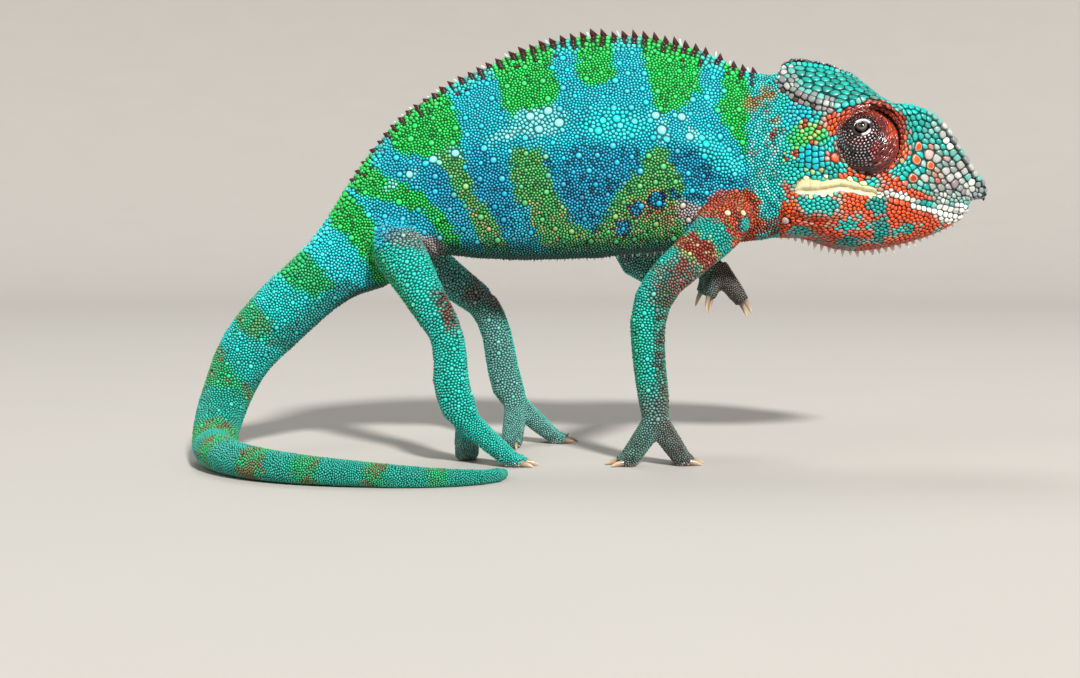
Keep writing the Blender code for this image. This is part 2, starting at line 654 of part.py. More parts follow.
COLLECTION = "panther_chameleon"
for old in list(bpy.data.objects):
    bpy.data.objects.remove(old)
bpy.context.scene.collection.children.link(bpy.data.collections.new(COLLECTION))
make_body()
make_head()
make_eye("right", -1)
make_eye("left", 1)
for limb_name, limb_sizes in LIMBS.items():
    make_limb(limb_name, limb_sizes)
centre_on_floor()
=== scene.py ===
import itertools
import math
import bpy
import numpy as np
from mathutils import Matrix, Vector
from mathutils.bvhtree import BVHTree
from mathutils.kdtree import KDTree


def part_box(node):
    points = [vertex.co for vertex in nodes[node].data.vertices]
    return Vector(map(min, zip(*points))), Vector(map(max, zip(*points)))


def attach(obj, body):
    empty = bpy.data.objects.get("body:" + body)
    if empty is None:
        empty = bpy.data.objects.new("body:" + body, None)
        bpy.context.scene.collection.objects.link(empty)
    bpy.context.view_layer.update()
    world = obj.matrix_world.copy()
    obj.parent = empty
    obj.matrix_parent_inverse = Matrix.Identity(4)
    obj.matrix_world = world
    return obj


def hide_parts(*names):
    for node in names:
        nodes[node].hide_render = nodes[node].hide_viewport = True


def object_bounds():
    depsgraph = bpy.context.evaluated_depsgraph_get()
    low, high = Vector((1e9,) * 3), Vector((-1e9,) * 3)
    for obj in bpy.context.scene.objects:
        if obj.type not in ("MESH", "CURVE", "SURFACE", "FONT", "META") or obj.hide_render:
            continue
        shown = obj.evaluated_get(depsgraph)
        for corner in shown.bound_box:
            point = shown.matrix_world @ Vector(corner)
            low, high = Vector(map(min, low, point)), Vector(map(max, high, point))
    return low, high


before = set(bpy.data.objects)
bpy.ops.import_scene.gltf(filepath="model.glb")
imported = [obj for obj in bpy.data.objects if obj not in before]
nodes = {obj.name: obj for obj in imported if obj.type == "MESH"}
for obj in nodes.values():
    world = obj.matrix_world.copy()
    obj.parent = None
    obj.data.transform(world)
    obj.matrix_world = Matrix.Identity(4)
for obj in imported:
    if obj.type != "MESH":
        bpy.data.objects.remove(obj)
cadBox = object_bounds()
mm = 0.001
rng = np.random.default_rng(11)

# Places below are in mm: x towards the nose, with 49 at the back of the head, y to the animal's
# left from the middle of the neck, z up from the floor.
origin = np.array((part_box("head")[0].x - 49 * mm, sum(b.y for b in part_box("neck")) / 2, 0.0))
boxLow, boxHigh = (np.array(corner) / mm - origin / mm for corner in cadBox)


def unit(v):
    return v / np.maximum(np.linalg.norm(v, axis=-1, keepdims=True), 1e-9)


def sizesOf(v):  # lengths of a list of vectors
    return np.linalg.norm(v, axis=1)


def turnsOf(count):  # angles evenly round a circle
    return np.arange(count) * 2 * math.pi / count


def alongSkin(v, normals):  # the part of each vector that lies in the surface
    return v - normals * (v * normals).sum(1)[:, None]


def linear(*rgb):  # from the 0 to 255 of a colour picker
    c = np.array(rgb, float) / 255
    return np.where(c <= 0.04045, c / 12.92, ((c + 0.055) / 1.055) ** 2.4)


def ease(x, low, high):  # 0 at low, 1 at high, smooth between and level beyond, in either direction
    t = np.clip((x - low) / (high - low), 0, 1)
    return t * t * (3 - 2 * t)


def hashed(cells, seed):
    h = cells[..., 0] * 73856093 ^ cells[..., 1] * 19349663 ^ cells[..., 2] * 83492791
    h = (h ^ (seed * 2654435761)) & 0xFFFFFFFF
    h = ((h ^ (h >> 15)) * 0x2C1B3C6D) & 0xFFFFFFFF
    h = ((h ^ (h >> 12)) * 0x297A2D39) & 0xFFFFFFFF
    return ((h ^ (h >> 15)) & 0xFFFF) / 65535


def noise(points, size, seed=0):  # smooth, from -1 to 1
    q = points / size
    base = np.floor(q).astype(np.int64)
    t = q - base
    t = t * t * (3 - 2 * t)
    total = 0
    for corner in itertools.product((0, 1), repeat=3):
        weight = np.prod(np.where(corner, t, 1 - t), axis=-1)
        total = total + weight * hashed(base + np.array(corner), seed)
    return total * 2 - 1


def heightOn(line, x):  # of a line in side view
    return np.interp(x, *zip(*line))


def resampled(line, step):  # places a step apart along a line, and how far along each is
    line = np.array(line, float)
    reach = np.concatenate([[0], np.cumsum(sizesOf(np.diff(line, axis=0)))])
    at = np.linspace(0, reach[-1], max(2, round(reach[-1] / step) + 1))
    return np.stack([np.interp(at, reach, column) for column in line.T], 1), at


def onLine(points, line):  # distance along the line, offset from it and its direction
    starts, steps = line[:-1], np.diff(line, axis=0)
    lengths = sizesOf(steps)
    ways = steps / lengths[:, None]
    reach = np.concatenate([[0], np.cumsum(lengths)])
    along, offset, way = [], [], []
    for part in np.array_split(points, max(1, len(points) // 4000)):
        t = np.clip(((part[:, None] - starts) * ways).sum(2), 0, lengths)
        near = starts + ways * t[..., None]
        best = np.linalg.norm(part[:, None] - near, axis=2).argmin(1)
        pick = np.arange(len(part))
        along.append(reach[best] + t[pick, best])
        offset.append(part - near[pick, best])
        way.append(ways[best])
    return np.concatenate(along), np.concatenate(offset), np.concatenate(way)


def treeOf(points):  # for finding the points near a place
    tree = KDTree(len(points))
    for k, p in enumerate(points.tolist()):
        tree.insert(p, k)
    tree.balance()
    return tree


def ringFaces(rings, sides, first=0):  # quads between rings of points that follow one another
    here, there = first + np.arange(sides), first + (np.arange(sides) + 1) % sides
    return np.concatenate([
        np.stack([k * sides + here, k * sides + there, (k + 1) * sides + there, (k + 1) * sides + here], 1)
        for k in range(rings - 1)
    ])


def pointedTris(rings, sides):  # triangles between the rings, closed by one more point at the end
    quads = ringFaces(rings, sides)
    last = (rings - 1) * sides
    cap = np.stack([last + np.arange(sides), last + (np.arange(sides) + 1) % sides,
                    np.full(sides, rings * sides)], 1)
    return np.concatenate([quads[:, (0, 1, 2)], quads[:, (0, 2, 3)], cap])


def domeFaces(rings, sides):  # quads between rings and a fan round the point before them
    fan = np.stack([np.zeros(sides, int), 1 + np.arange(sides), 1 + (np.arange(sides) + 1) % sides], 1)
    return ringFaces(rings, sides, 1)[:, (0, 3, 2, 1)], fan


def placed(name, data):  # a new object in the scene
    made = bpy.data.objects.new(name, data)
    bpy.context.scene.collection.objects.link(made)
    return made


def newObject(name, points, faceSets, colours, uv=None, *, material):
    mesh = bpy.data.meshes.new(name)
    points = np.clip(points, boxLow + 0.02, boxHigh - 0.02)
    mesh.vertices.add(len(points))
    mesh.vertices.foreach_set("co", (points * mm + origin).astype(np.float32).ravel())
    loops = np.concatenate([faces.ravel() for faces in faceSets])
    sizes = np.concatenate([np.full(len(faces), faces.shape[1]) for faces in faceSets])
    mesh.loops.add(len(loops))
    mesh.loops.foreach_set("vertex_index", loops.astype(np.int32))
    mesh.polygons.add(len(sizes))
    starts = np.concatenate([[0], np.cumsum(sizes)[:-1]])
    mesh.polygons.foreach_set("loop_start", starts.astype(np.int32))
    mesh.update(calc_edges=True)
    mesh.validate()
    mesh.shade_smooth()
    layer = mesh.color_attributes.new(name="marks", type="FLOAT_COLOR", domain="POINT")
    rgba = np.concatenate([colours, np.ones((len(colours), 1))], 1)
    layer.data.foreach_set("color", rgba.astype(np.float32).ravel())
    if uv is not None:
        layer = mesh.uv_layers.new(name="OFBake", do_init=False)
        layer.uv.foreach_set("vector", uv[loops].astype(np.float32).ravel())
    mesh.materials.append(material)
    return placed(name, mesh)


# Camera: level with the trunk, a little above it, with the lens's own slight perspective.
cameraLook = {"place": (-10, -330, 49), "target": (-10, 0, 29), "lens": 44}


def makeCamera():
    data = bpy.data.cameras.new("camera")
    data.lens, data.sensor_width = cameraLook["lens"], 36
    data.clip_start, data.clip_end = 0.01, 20
    camera = placed("camera", data)
    place = Vector(np.array(cameraLook["place"]) * mm + origin)
    target = Vector(np.array(cameraLook["target"]) * mm + origin)
    camera.location = place
    camera.rotation_euler = (target - place).to_track_quat("-Z", "Y").to_euler()
    bpy.context.scene.camera = camera


# Studio: a pale floor that curves up far away on every side, one main light and two fills.
studio = {
    "floorColour": (176, 172, 166),
    "lights": (
        ("main", (0.80, -2.1, 1.75), 0.34, 138.0, (1.0, 0.985, 0.96)),
        ("fill", (-2.3, -1.3, 1.9), 1.60, 18.0, (0.95, 0.98, 1.0)),
        ("back", (-0.4, 1.5, 2.4), 1.20, 22.0, (1.0, 1.0, 1.0)),
    ),
    "sky": (0.96, 0.98, 1.0), "skyStrength": 0.30,
}


def makeStudio():
    turns = 64
    profile = [(0.01, 0), (0.4, 0), (0.8, 0), (1.2, 0)]
    profile += [(1.2 + 0.5 * math.sin(a), 0.5 - 0.5 * math.cos(a)) for a in np.linspace(0.2, 1.5, 8)]
    profile += [(1.72, 1.0)]
    angle = turnsOf(turns)
    rings = [np.stack([r * np.cos(angle), r * np.sin(angle), np.full(turns, z)], 1) for r, z in profile]
    points = np.concatenate([[(0, 0, 0)], *rings])
    quads, fan = domeFaces(len(profile), turns)
    mesh = bpy.data.meshes.new("floor")
    mesh.from_pydata(points.tolist(), [], quads.tolist() + fan.tolist())
    mesh.shade_smooth()
    floor = placed("floor", mesh)
    material, shader, add, link = newMaterial("paleFloor", 0.85)
    grain = add("ShaderNodeTexNoise", Scale=55.0, Detail=4.0)
    ramp = add("ShaderNodeValToRGB")
    link(grain.outputs["Fac"], ramp.inputs["Fac"])
    pale = linear(*studio["floorColour"])
    ramp.color_ramp.elements[0].color = (*pale * 0.97, 1)
    ramp.color_ramp.elements[1].color = (*pale * 1.02, 1)
    link(ramp.outputs["Color"], shader.inputs["Base Color"])
    mesh.materials.append(material)
    for name, place, size, power, colour in studio["lights"]:
        data = bpy.data.lights.new(name, "AREA")
        data.shape, data.size, data.energy, data.color = "DISK", size, power, colour
        lamp = placed(name, data)
        lamp.location = place
        aim = Vector((0, 0, 0.05)) - lamp.location
        lamp.rotation_euler = aim.to_track_quat("-Z", "Y").to_euler()
    world = bpy.data.worlds.new("sky")
    world.use_nodes = True
    inputs = world.node_tree.nodes["Background"].inputs
    inputs["Color"].default_value = (*studio["sky"], 1)
    inputs["Strength"].default_value = studio["skyStrength"]
    bpy.context.scene.world = world
    bpy.context.scene.view_settings.view_transform = "Standard"


def newMaterial(name, roughness, specular=0.5):
    material = bpy.data.materials.new(name)
    material.use_nodes = True
    tree = material.node_tree
    shader = tree.nodes["Principled BSDF"]
    shader.inputs["Roughness"].default_value = roughness
    shader.inputs["Specular IOR Level"].default_value = specular

    def add(kind, **inputs):
        node = tree.nodes.new(kind)
        for key, value in inputs.items():
            node.inputs[key].default_value = value
        return node
    return material, shader, add, tree.links.new


def markedMaterial(name, grain=2600.0, vary=0.22, bump=0.25, rough=(0.34, 0.52), coat=0.0, shine=0.4):
    # colour from the marks on the mesh, broken up by fine grain, with a grain bump and sheen
    material, shader, add, link = newMaterial(name, rough[0], shine)
    place = add("ShaderNodeTexCoord")
    marks = add("ShaderNodeAttribute")
    marks.attribute_name = "marks"
    fine = add("ShaderNodeTexNoise", Scale=grain, Detail=3.0)
    broad = add("ShaderNodeTexNoise", Scale=grain * 0.16, Detail=2.0)
    link(place.outputs["Object"], fine.inputs["Vector"])
    link(place.outputs["Object"], broad.inputs["Vector"])
    shade = add("ShaderNodeMapRange")
    shade.inputs["To Min"].default_value = 1 - vary
    shade.inputs["To Max"].default_value = 1 + vary
    link(fine.outputs["Fac"], shade.inputs["Value"])
    mix = add("ShaderNodeVectorMath")
    mix.operation = "MULTIPLY"
    link(marks.outputs["Color"], mix.inputs[0])
    link(shade.outputs["Result"], mix.inputs[1])
    link(mix.outputs["Vector"], shader.inputs["Base Color"])
    gloss = add("ShaderNodeMapRange")
    gloss.inputs["To Min"].default_value, gloss.inputs["To Max"].default_value = rough
    link(broad.outputs["Fac"], gloss.inputs["Value"])
    link(gloss.outputs["Result"], shader.inputs["Roughness"])
    relief = add("ShaderNodeBump", Strength=bump, Distance=0.00008)
    link(fine.outputs["Fac"], relief.inputs["Height"])
    link(relief.outputs["Normal"], shader.inputs["Normal"])
    if coat:
        shader.inputs["Coat Weight"].default_value = coat
        shader.inputs["Coat Roughness"].default_value = 0.12
    return material


makeCamera()
makeStudio()
print("camera and studio made")

# Flesh: every node of skin and muscle, which one skin replaces.
fleshNames = sorted(n for n in nodes if not n.startswith(("claw", "eye")))
clawNames = sorted(n for n in nodes if n.startswith("claw"))


def nodeMesh(name):  # welded points in mm and triangles
    data = nodes[name].data
    data.calc_loop_triangles()
    co = np.empty(len(data.vertices) * 3)
    data.vertices.foreach_get("co", co)
    tris = np.empty(len(data.loop_triangles) * 3, int)
    data.loop_triangles.foreach_get("vertices", tris)
    co = (co.reshape(-1, 3) - origin) / mm
    _, first, back = np.unique(np.round(co / 0.002), axis=0, return_index=True, return_inverse=True)
    tris = back.ravel()[tris].reshape(-1, 3)
    return co[first], tris[(tris != np.roll(tris, 1, axis=1)).all(1)]


def vertexNormals(points, faces):
    a, b, c = (points[faces[:, k]] for k in (0, 1, 2))
    if faces.shape[1] == 4:
        flat = np.cross(points[faces[:, 2]] - a, points[faces[:, 3]] - b)
    else:
        flat = np.cross(b - a, c - a)
    total = np.zeros_like(points)
    for k in range(faces.shape[1]):
        for axis in range(3):
            total[:, axis] += np.bincount(faces[:, k], flat[:, axis], len(points))
    return unit(total)


def axisOf(name, slices=5):  # the middle line of a long node
    points = nodeMesh(name)[0]
    middle = points.mean(0)
    way = np.linalg.svd(points - middle, full_matrices=False)[2][0]
    t = (points - middle) @ way
    edges = np.quantile(t, np.linspace(0, 1, slices + 1))
    line = []
    for low, high in zip(edges, edges[1:]):
        part = points[(t >= low - 1e-6) & (t <= high + 1e-6)]
        line.append((part.min(0) + part.max(0)) / 2)
    return np.array(line)


# The skin: the flesh nodes swelled until they meet, remeshed as one, smoothed and drawn back in.
skinLook = {"swell": 0.24, "voxel": 0.55, "smoothRounds": 12, "coatDepth": 0.32}


def gatherFlesh():
    pointSets, faceSets, labels, count = [], [], [], 0
    for number, name in enumerate(fleshNames):
        points, faces = nodeMesh(name)
        pointSets.append(points)
        faceSets.append(faces + count)
        labels.append(np.full(len(faces), number))
        count += len(points)
    return np.concatenate(pointSets), np.concatenate(faceSets), np.concatenate(labels)


def smoothed(points, edges, rounds, share):
    count = np.bincount(edges.ravel(), minlength=len(points))[:, None]
    for _ in range(rounds):
        for factor in (0.55, -0.56):
            total = np.stack([
                np.bincount(edges[:, 0], points[edges[:, 1], k], len(points))
                + np.bincount(edges[:, 1], points[edges[:, 0], k], len(points))
                for k in range(3)
            ], 1)
            points = points + (total / np.maximum(count, 1) - points) * factor * share[:, None]
    return points


fleshPoints, fleshFaces, fleshLabels = gatherFlesh()
fleshTree = BVHTree.FromPolygons(fleshPoints.tolist(), fleshFaces.tolist())


def labelOf(points):  # number of the flesh node that each point lies on
    found = [fleshTree.find_nearest(p)[2] for p in points.tolist()]
    return fleshLabels[np.array(found)]


def named(labels, *starts):
    numbers = [k for k, n in enumerate(fleshNames) if n.startswith(starts)]
    return np.isin(labels, numbers)


def remeshedSkin():
    swollen = fleshPoints + vertexNormals(fleshPoints, fleshFaces) * skinLook["swell"]
    mesh = bpy.data.meshes.new("rough")
    mesh.from_pydata((swollen * mm).tolist(), [], fleshFaces.tolist())
    rough = placed("rough", mesh)
    remesh = rough.modifiers.new("remesh", "REMESH")
    remesh.mode = "VOXEL"
    remesh.voxel_size = skinLook["voxel"] * mm
    made = rough.evaluated_get(bpy.context.evaluated_depsgraph_get()).to_mesh()
    co = np.empty(len(made.vertices) * 3)
    made.vertices.foreach_get("co", co)
    quads = np.empty(len(made.polygons) * 4, int)
    made.loops.foreach_get("vertex_index", quads)
    edges = np.empty(len(made.edges) * 2, int)
    made.edges.foreach_get("vertices", edges)
    bpy.data.objects.remove(rough)
    return co.reshape(-1, 3) / mm, quads.reshape(-1, 4), edges.reshape(-1, 2)


skinPoints, skinQuads, skinEdges = remeshedSkin()
skinLabels = labelOf(skinPoints)
onFoot = named(skinLabels, "hand", "foot")
skinPoints = smoothed(skinPoints, skinEdges, skinLook["smoothRounds"], np.where(onFoot, 0.55, 1.0))
skinNormals = vertexNormals(skinPoints, skinQuads)
drawIn = (skinLook["swell"] + skinLook["coatDepth"]) * np.where(onFoot, 0.7, 1.0)
skinPoints = skinPoints - skinNormals * drawIn[:, None]
print("skin remeshed:", len(skinQuads), "faces")

# Lines on the head in side view (x, z), on both sides alike.
headLines = {
    "mouth": ((53.4, 65.4), (56.8, 65.3), (62.5, 66.4), (73, 64.4), (82, 62.3), (90, 60.5), (95.6, 60.0)),
    "sideCrest": ((48.9, 93.6), (50.4, 90.9), (53, 88.6), (56.6, 86.9), (60.4, 85.8), (64.4, 86.0),
                  (67.5, 87.2)),
    "canthus": ((77.5, 86.0), (81.5, 85.3), (85, 83.9), (88.8, 80.8), (92.5, 75.6), (96.3, 70.2),
                (99.6, 67.0)),
}
# Creases and ridges: a line in side view, how far it moves the skin and its half-width.
skinForms = {
    "mouth": (headLines["mouth"], -0.60, 0.50),
    "sideCrest": (headLines["sideCrest"], 0.55, 0.9),
    "canthus": (headLines["canthus"], 0.30, 0.8),
    "jawFoldUpper": (((51.5, 59.6), (55, 58.4), (59, 58.0), (63, 58.9), (66, 60.2)), -0.35, 0.5),
    "jawFoldLower": (((51.0, 57.6), (55.5, 56.4), (60, 56.2), (65, 57.4)), -0.30, 0.5),
    "shoulderRidge": (((22, 77), (28, 76.2), (33, 73.6), (37, 69.8), (39, 66.5)), 0.75, 2.0),
    "shoulderHollow": (((24, 71), (30, 69), (34, 66.2), (36.5, 64.0)), -0.55, 2.2),
    "neckFoldFront": (((46.2, 80), (46.8, 74), (46.4, 68), (44.4, 62), (42, 58.5)), -0.45, 0.7),
    "neckFoldMiddle": (((42.2, 79), (43.4, 73), (43.2, 67), (41.6, 62)), -0.40, 0.6),
    "neckFoldRear": (((37.4, 77), (39.4, 72), (40.2, 67.5), (39.8, 64)), -0.35, 0.6),
    "armpitFront": (((30.5, 63.5), (28.2, 60.5), (27.4, 57.5)), -0.40, 0.6),
    "armpitMiddle": (((28.2, 63.6), (26.0, 60.8), (25.2, 57.5)), -0.40, 0.6),
    "armpitRear": (((25.8, 63.2), (23.8, 60.8), (22.8, 58.0)), -0.30, 0.6),
    "groin": (((-36.5, 54.5), (-34.6, 50.5), (-35.0, 46.5)), -0.50, 0.9),
}
turret = {
    side: {"box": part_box(f"eye_turret_{side}"), "eye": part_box(f"eye_{side}")} for side in ("right", "left")
}
for side, facts in turret.items():
    low, high = ((np.array(c) - origin) / mm for c in facts["box"])
    outward = -1 if side == "right" else 1
    radius = (high[2] - low[2]) / 2
    edge = low[1] if side == "right" else high[1]
    facts["radius"] = radius
    facts["centre"] = np.array(((low[0] + high[0]) / 2, edge - outward * radius, (low[2] + high[2]) / 2))
    eyeLow, eyeHigh = ((np.array(c) - origin) / mm for c in facts["eye"])
    facts["gaze"] = unit((eyeLow + eyeHigh) / 2 - facts["centre"])
    facts["outward"] = np.array((0.0, outward, 0.0))
    print(side, "turret", facts["centre"].round(2), round(radius, 2), facts["gaze"].round(2))


def lineGap(xz, line):  # distance in side view from a line
    flat = np.zeros((len(xz), 3))
    flat[:, :2] = xz
    path = np.zeros((len(line), 3))
    path[:, :2] = line
    return sizesOf(onLine(flat, path)[1])


def turretGap(points):  # distance in side view from the middle of the nearer turret
    near = [sizesOf((points - t["centre"])[:, (0, 2)]) for t in turret.values()]
    return np.where(points[:, 1] < 0, near[0], near[1])


def sculpt(points, normals, labels):
    head = named(labels, "head", "lower_jaw")
    sideways = ease(np.abs(normals[:, 1]), 0.15, 0.45)
    move = np.zeros(len(points))
    body = named(labels, "head", "lower_jaw", "neck", "trunk")
    near = np.flatnonzero(body)
    for name, (line, depth, width) in skinForms.items():
        gap = lineGap(points[near][:, (0, 2)], line)
        facing = 1 if name in ("mouth", "canthus", "sideCrest") else sideways[near]
        move[near] += depth * np.exp(-(gap / width) ** 2) * facing
    ring = turretGap(points)
    folds = np.cos((ring - 8.9) * 2 * math.pi / 1.25) * ease(ring, 8.2, 8.8) * ease(ring, 11.6, 9.4)
    move += 0.22 * folds * head * sideways
    hip = sizesOf(points[:, (0, 2)] - (-42.0, 45.5))
    arcs = np.cos(hip * 2 * math.pi / 1.55) * ease(hip, 6.5, 8.5) * ease(hip, 14.5, 11)
    arcs *= ease(points[:, 0] * -1, 38, 43) * ease(points[:, 2], 44, 49)
    move += 0.2 * arcs * sideways * named(labels, "trunk", "thigh")
    mirrored = np.stack([points[:, 0], np.abs(points[:, 1]), points[:, 2]], 1)
    nostril = sizesOf(mirrored - np.array((92.6, 3.6, 67.6)))
    move -= 0.8 * np.exp(-(nostril / 0.75) ** 2) * head
    move += 0.10 * noise(points, 5.0, 3) * body
    return points + normals * move[:, None]


def relaxed(points, share, rounds):  # plain smoothing, as strong as share says
    count = np.maximum(np.bincount(skinEdges.ravel(), minlength=len(points)), 1)[:, None]
    part = np.flatnonzero(share > 0)
    some = skinEdges[(share[skinEdges] > 0).any(1)]
    for _ in range(rounds):
        total = np.stack([
            np.bincount(some[:, 0], points[some[:, 1], k], len(points))
            + np.bincount(some[:, 1], points[some[:, 0], k], len(points))
            for k in range(3)
        ], 1)
        points[part] += ((total / count)[part] - points[part]) * (0.5 * share[part])[:, None]
    return points


# The cones of the back are smoothed away here, because the spines stand in for them.
ridgeTop = {}
for x in np.arange(-76, 42, 0.5):
    near = (np.abs(skinPoints[:, 0] - x) < 1.4) & (np.abs(skinPoints[:, 1]) < 3.2) & (skinPoints[:, 2] > 45)
    ring = skinPoints[near & (np.abs(skinPoints[:, 1]) > 1.7) & (skinNormals[:, 2] > 0.2)]
    ridgeTop[x] = ring[:, 2].max() if len(ring) else 0.0
ridgeX, ridgeZ = np.array(list(ridgeTop)), np.array(list(ridgeTop.values()))
onRidge = (np.abs(skinPoints[:, 1]) < 3.0) & (skinPoints[:, 0] < 41) & (
    skinPoints[:, 2] > np.interp(skinPoints[:, 0], ridgeX, ridgeZ) - 2.5) & (skinPoints[:, 0] > -76)
skinPoints = relaxed(skinPoints, onRidge * 1.0, 60)
# Where two parts of the body meet, the crease between them is filled: reach and rounds.
skinJoins = (("trunk", "thigh", 5.0, 55), ("trunk", "upper_arm", 4.5, 40), ("neck", "head", 2.5, 16),
             ("neck", "lower_jaw", 3.0, 25), ("trunk", "neck", 4.0, 30), ("trunk", "tail_1", 4.5, 30),
             ("upper_arm", "forearm", 3.0, 12), ("thigh", "shank", 3.0, 12), ("forearm", "hand", 2.2, 8),
             ("shank", "foot", 2.2, 8))
edgeLabels = skinLabels[skinEdges]
for one, other, reach, rounds in skinJoins:
    first, second = named(edgeLabels, one), named(edgeLabels, other)
    border = skinPoints[np.unique(skinEdges[(first[:, 0] & second[:, 1]) | (first[:, 1] & second[:, 0])])]
    border = border[border[:, 0] > -79]
    if len(border):
        tree = treeOf(border)
        near = np.flatnonzero(named(skinLabels, one, other))
        gap = np.array([tree.find(p)[2] for p in skinPoints[near].tolist()])
        share = np.zeros(len(skinPoints))
        share[near] = ease(-gap, -reach, -reach * 0.3)
        skinPoints = relaxed(skinPoints, share, rounds)
skinNormals = vertexNormals(skinPoints, skinQuads)
skinPoints = sculpt(skinPoints, skinNormals, skinLabels)
skinPoints[:, 2] = np.maximum(skinPoints[:, 2], 0.06)
skinNormals = vertexNormals(skinPoints, skinQuads)
skinTree = BVHTree.FromPolygons(skinPoints.tolist(), skinQuads.tolist())


def onSkin(points):  # the nearest places on the skin, their normals and labels
    found = [skinTree.find_nearest(p) for p in points.tolist()]
    place = np.array([f[0] for f in found])
    corners = skinQuads[np.array([f[2] for f in found])]
    apart = np.linalg.norm(skinPoints[corners] - place[:, None], axis=2)
    weight = 1 / (apart + 0.05)
    normal = unit((skinNormals[corners] * weight[..., None]).sum(1))
    return place, normal, skinLabels[corners[:, 0]]


def fromSide(x, z, outward):  # where a point of the side view lies on the skin
    hit = skinTree.ray_cast(Vector((x, 45 * outward, z)), Vector((0, -outward, 0)))
    return np.array(hit[0]) if hit[0] else None


def midLine(xs, down):  # where the skin crosses the middle plane, seen from above or below
    places = []
    for x in xs:
        hit = skinTree.ray_cast(Vector((x, 0, 125 if down else 20)), Vector((0, 0, -1 if down else 1)))[0]
        if hit:
            places.append(tuple(hit))
    places = np.array(places)
    for _ in range(6):
        places[1:-1] = places[1:-1] * 0.5 + (places[:-2] + places[2:]) * 0.25
    return places


backLine = midLine(np.arange(-76, 43.5, 0.8), True)[::-1]
print("skin sculpted")

# Colours, named as a painter would mix them.
paints = {
    "cyan": (0, 184, 202), "brightCyan": (20, 222, 226), "deepBlue": (0, 150, 186),
    "inkBlue": (0, 44, 96), "paleMint": (132, 232, 228), "green": (24, 190, 74),
    "olive": (62, 166, 86), "yellowOlive": (150, 176, 92), "shadedBellyTeal": (28, 92, 84),
    "turquoise": (0, 172, 160), "teal": (0, 138, 128), "legTurquoise": (0, 186, 168),
    "red": (208, 70, 20), "orange": (204, 80, 26), "brick": (146, 46, 26), "brown": (104, 62, 36),
    "cream": (240, 231, 170), "white": (226, 228, 220), "greyPurple": (132, 118, 122),
    "grey": (128, 142, 140), "darkGrey": (66, 72, 74), "fleshPink": (190, 168, 164),
    "neckCyan": (18, 206, 200), "ochre": (176, 130, 66), "spotGreen": (40, 178, 76),
    "tailTurquoise": (0, 198, 192), "tailGreen": (26, 172, 98), "tailBrown": (112, 112, 70),
    "plateCyan": (0, 166, 178), "footGrey": (104, 112, 108), "palmBrown": (104, 84, 74),
    "umber": (78, 56, 46), "eyeDark": (40, 24, 28), "eyeRed": (134, 32, 22), "lidGleam": (176, 164, 166),
    "spineBrown": (56, 16, 12), "chalk": (168, 170, 165), "ash": (124, 131, 128),
    "mistTeal": (96, 164, 154), "tan": (172, 146, 104), "ridgeMint": (56, 190, 156),
    "casqueTeal": (6, 138, 126), "tailTeal": (22, 156, 132), "finMint": (170, 204, 192),
}
# Rows of pointed scales: spacing, height at places along x, half-width and colours in turn.
spines = {
    "crest": {"step": 1.28,
              "height": ((-76, 0.75), (-45, 1.2), (-20, 1.65), (15, 2.0), (30, 2.15), (42, 1.75)),
              "length": 1.06, "width": 0.64, "lean": -0.62, "paints": ("spineBrown", "finMint")},
    "throat": {"step": 1.75, "height": ((50, 0.7), (58, 1.7), (80, 1.9), (90, 0.9)),
               "length": 0.74, "width": 0.54, "lean": 0.25, "paints": ("red", "white")},
    "belly": {"step": 1.9, "height": ((-34, 0.5), (0, 0.8), (24, 1.2)),
              "length": 0.44, "width": 0.36, "lean": -0.20, "paints": ("grey", "white")},
}
crestKinds = ["tall"]  # fins along the back: tall brown ones, with pale or low ones between
while len(crestKinds) < 160:
    draw = rng.random()
    lesser = "pale" if draw < 0.30 else "low"
    crestKinds.append(lesser if crestKinds[-1] == "tall" or draw > 0.90 else "tall")
crestSteps = resampled(backLine, spines["crest"]["step"])[0][:, 0]
crestKinds = [kind if x > -57 else "low" for kind, x in zip(crestKinds, np.append(crestSteps, [0] * 160))]
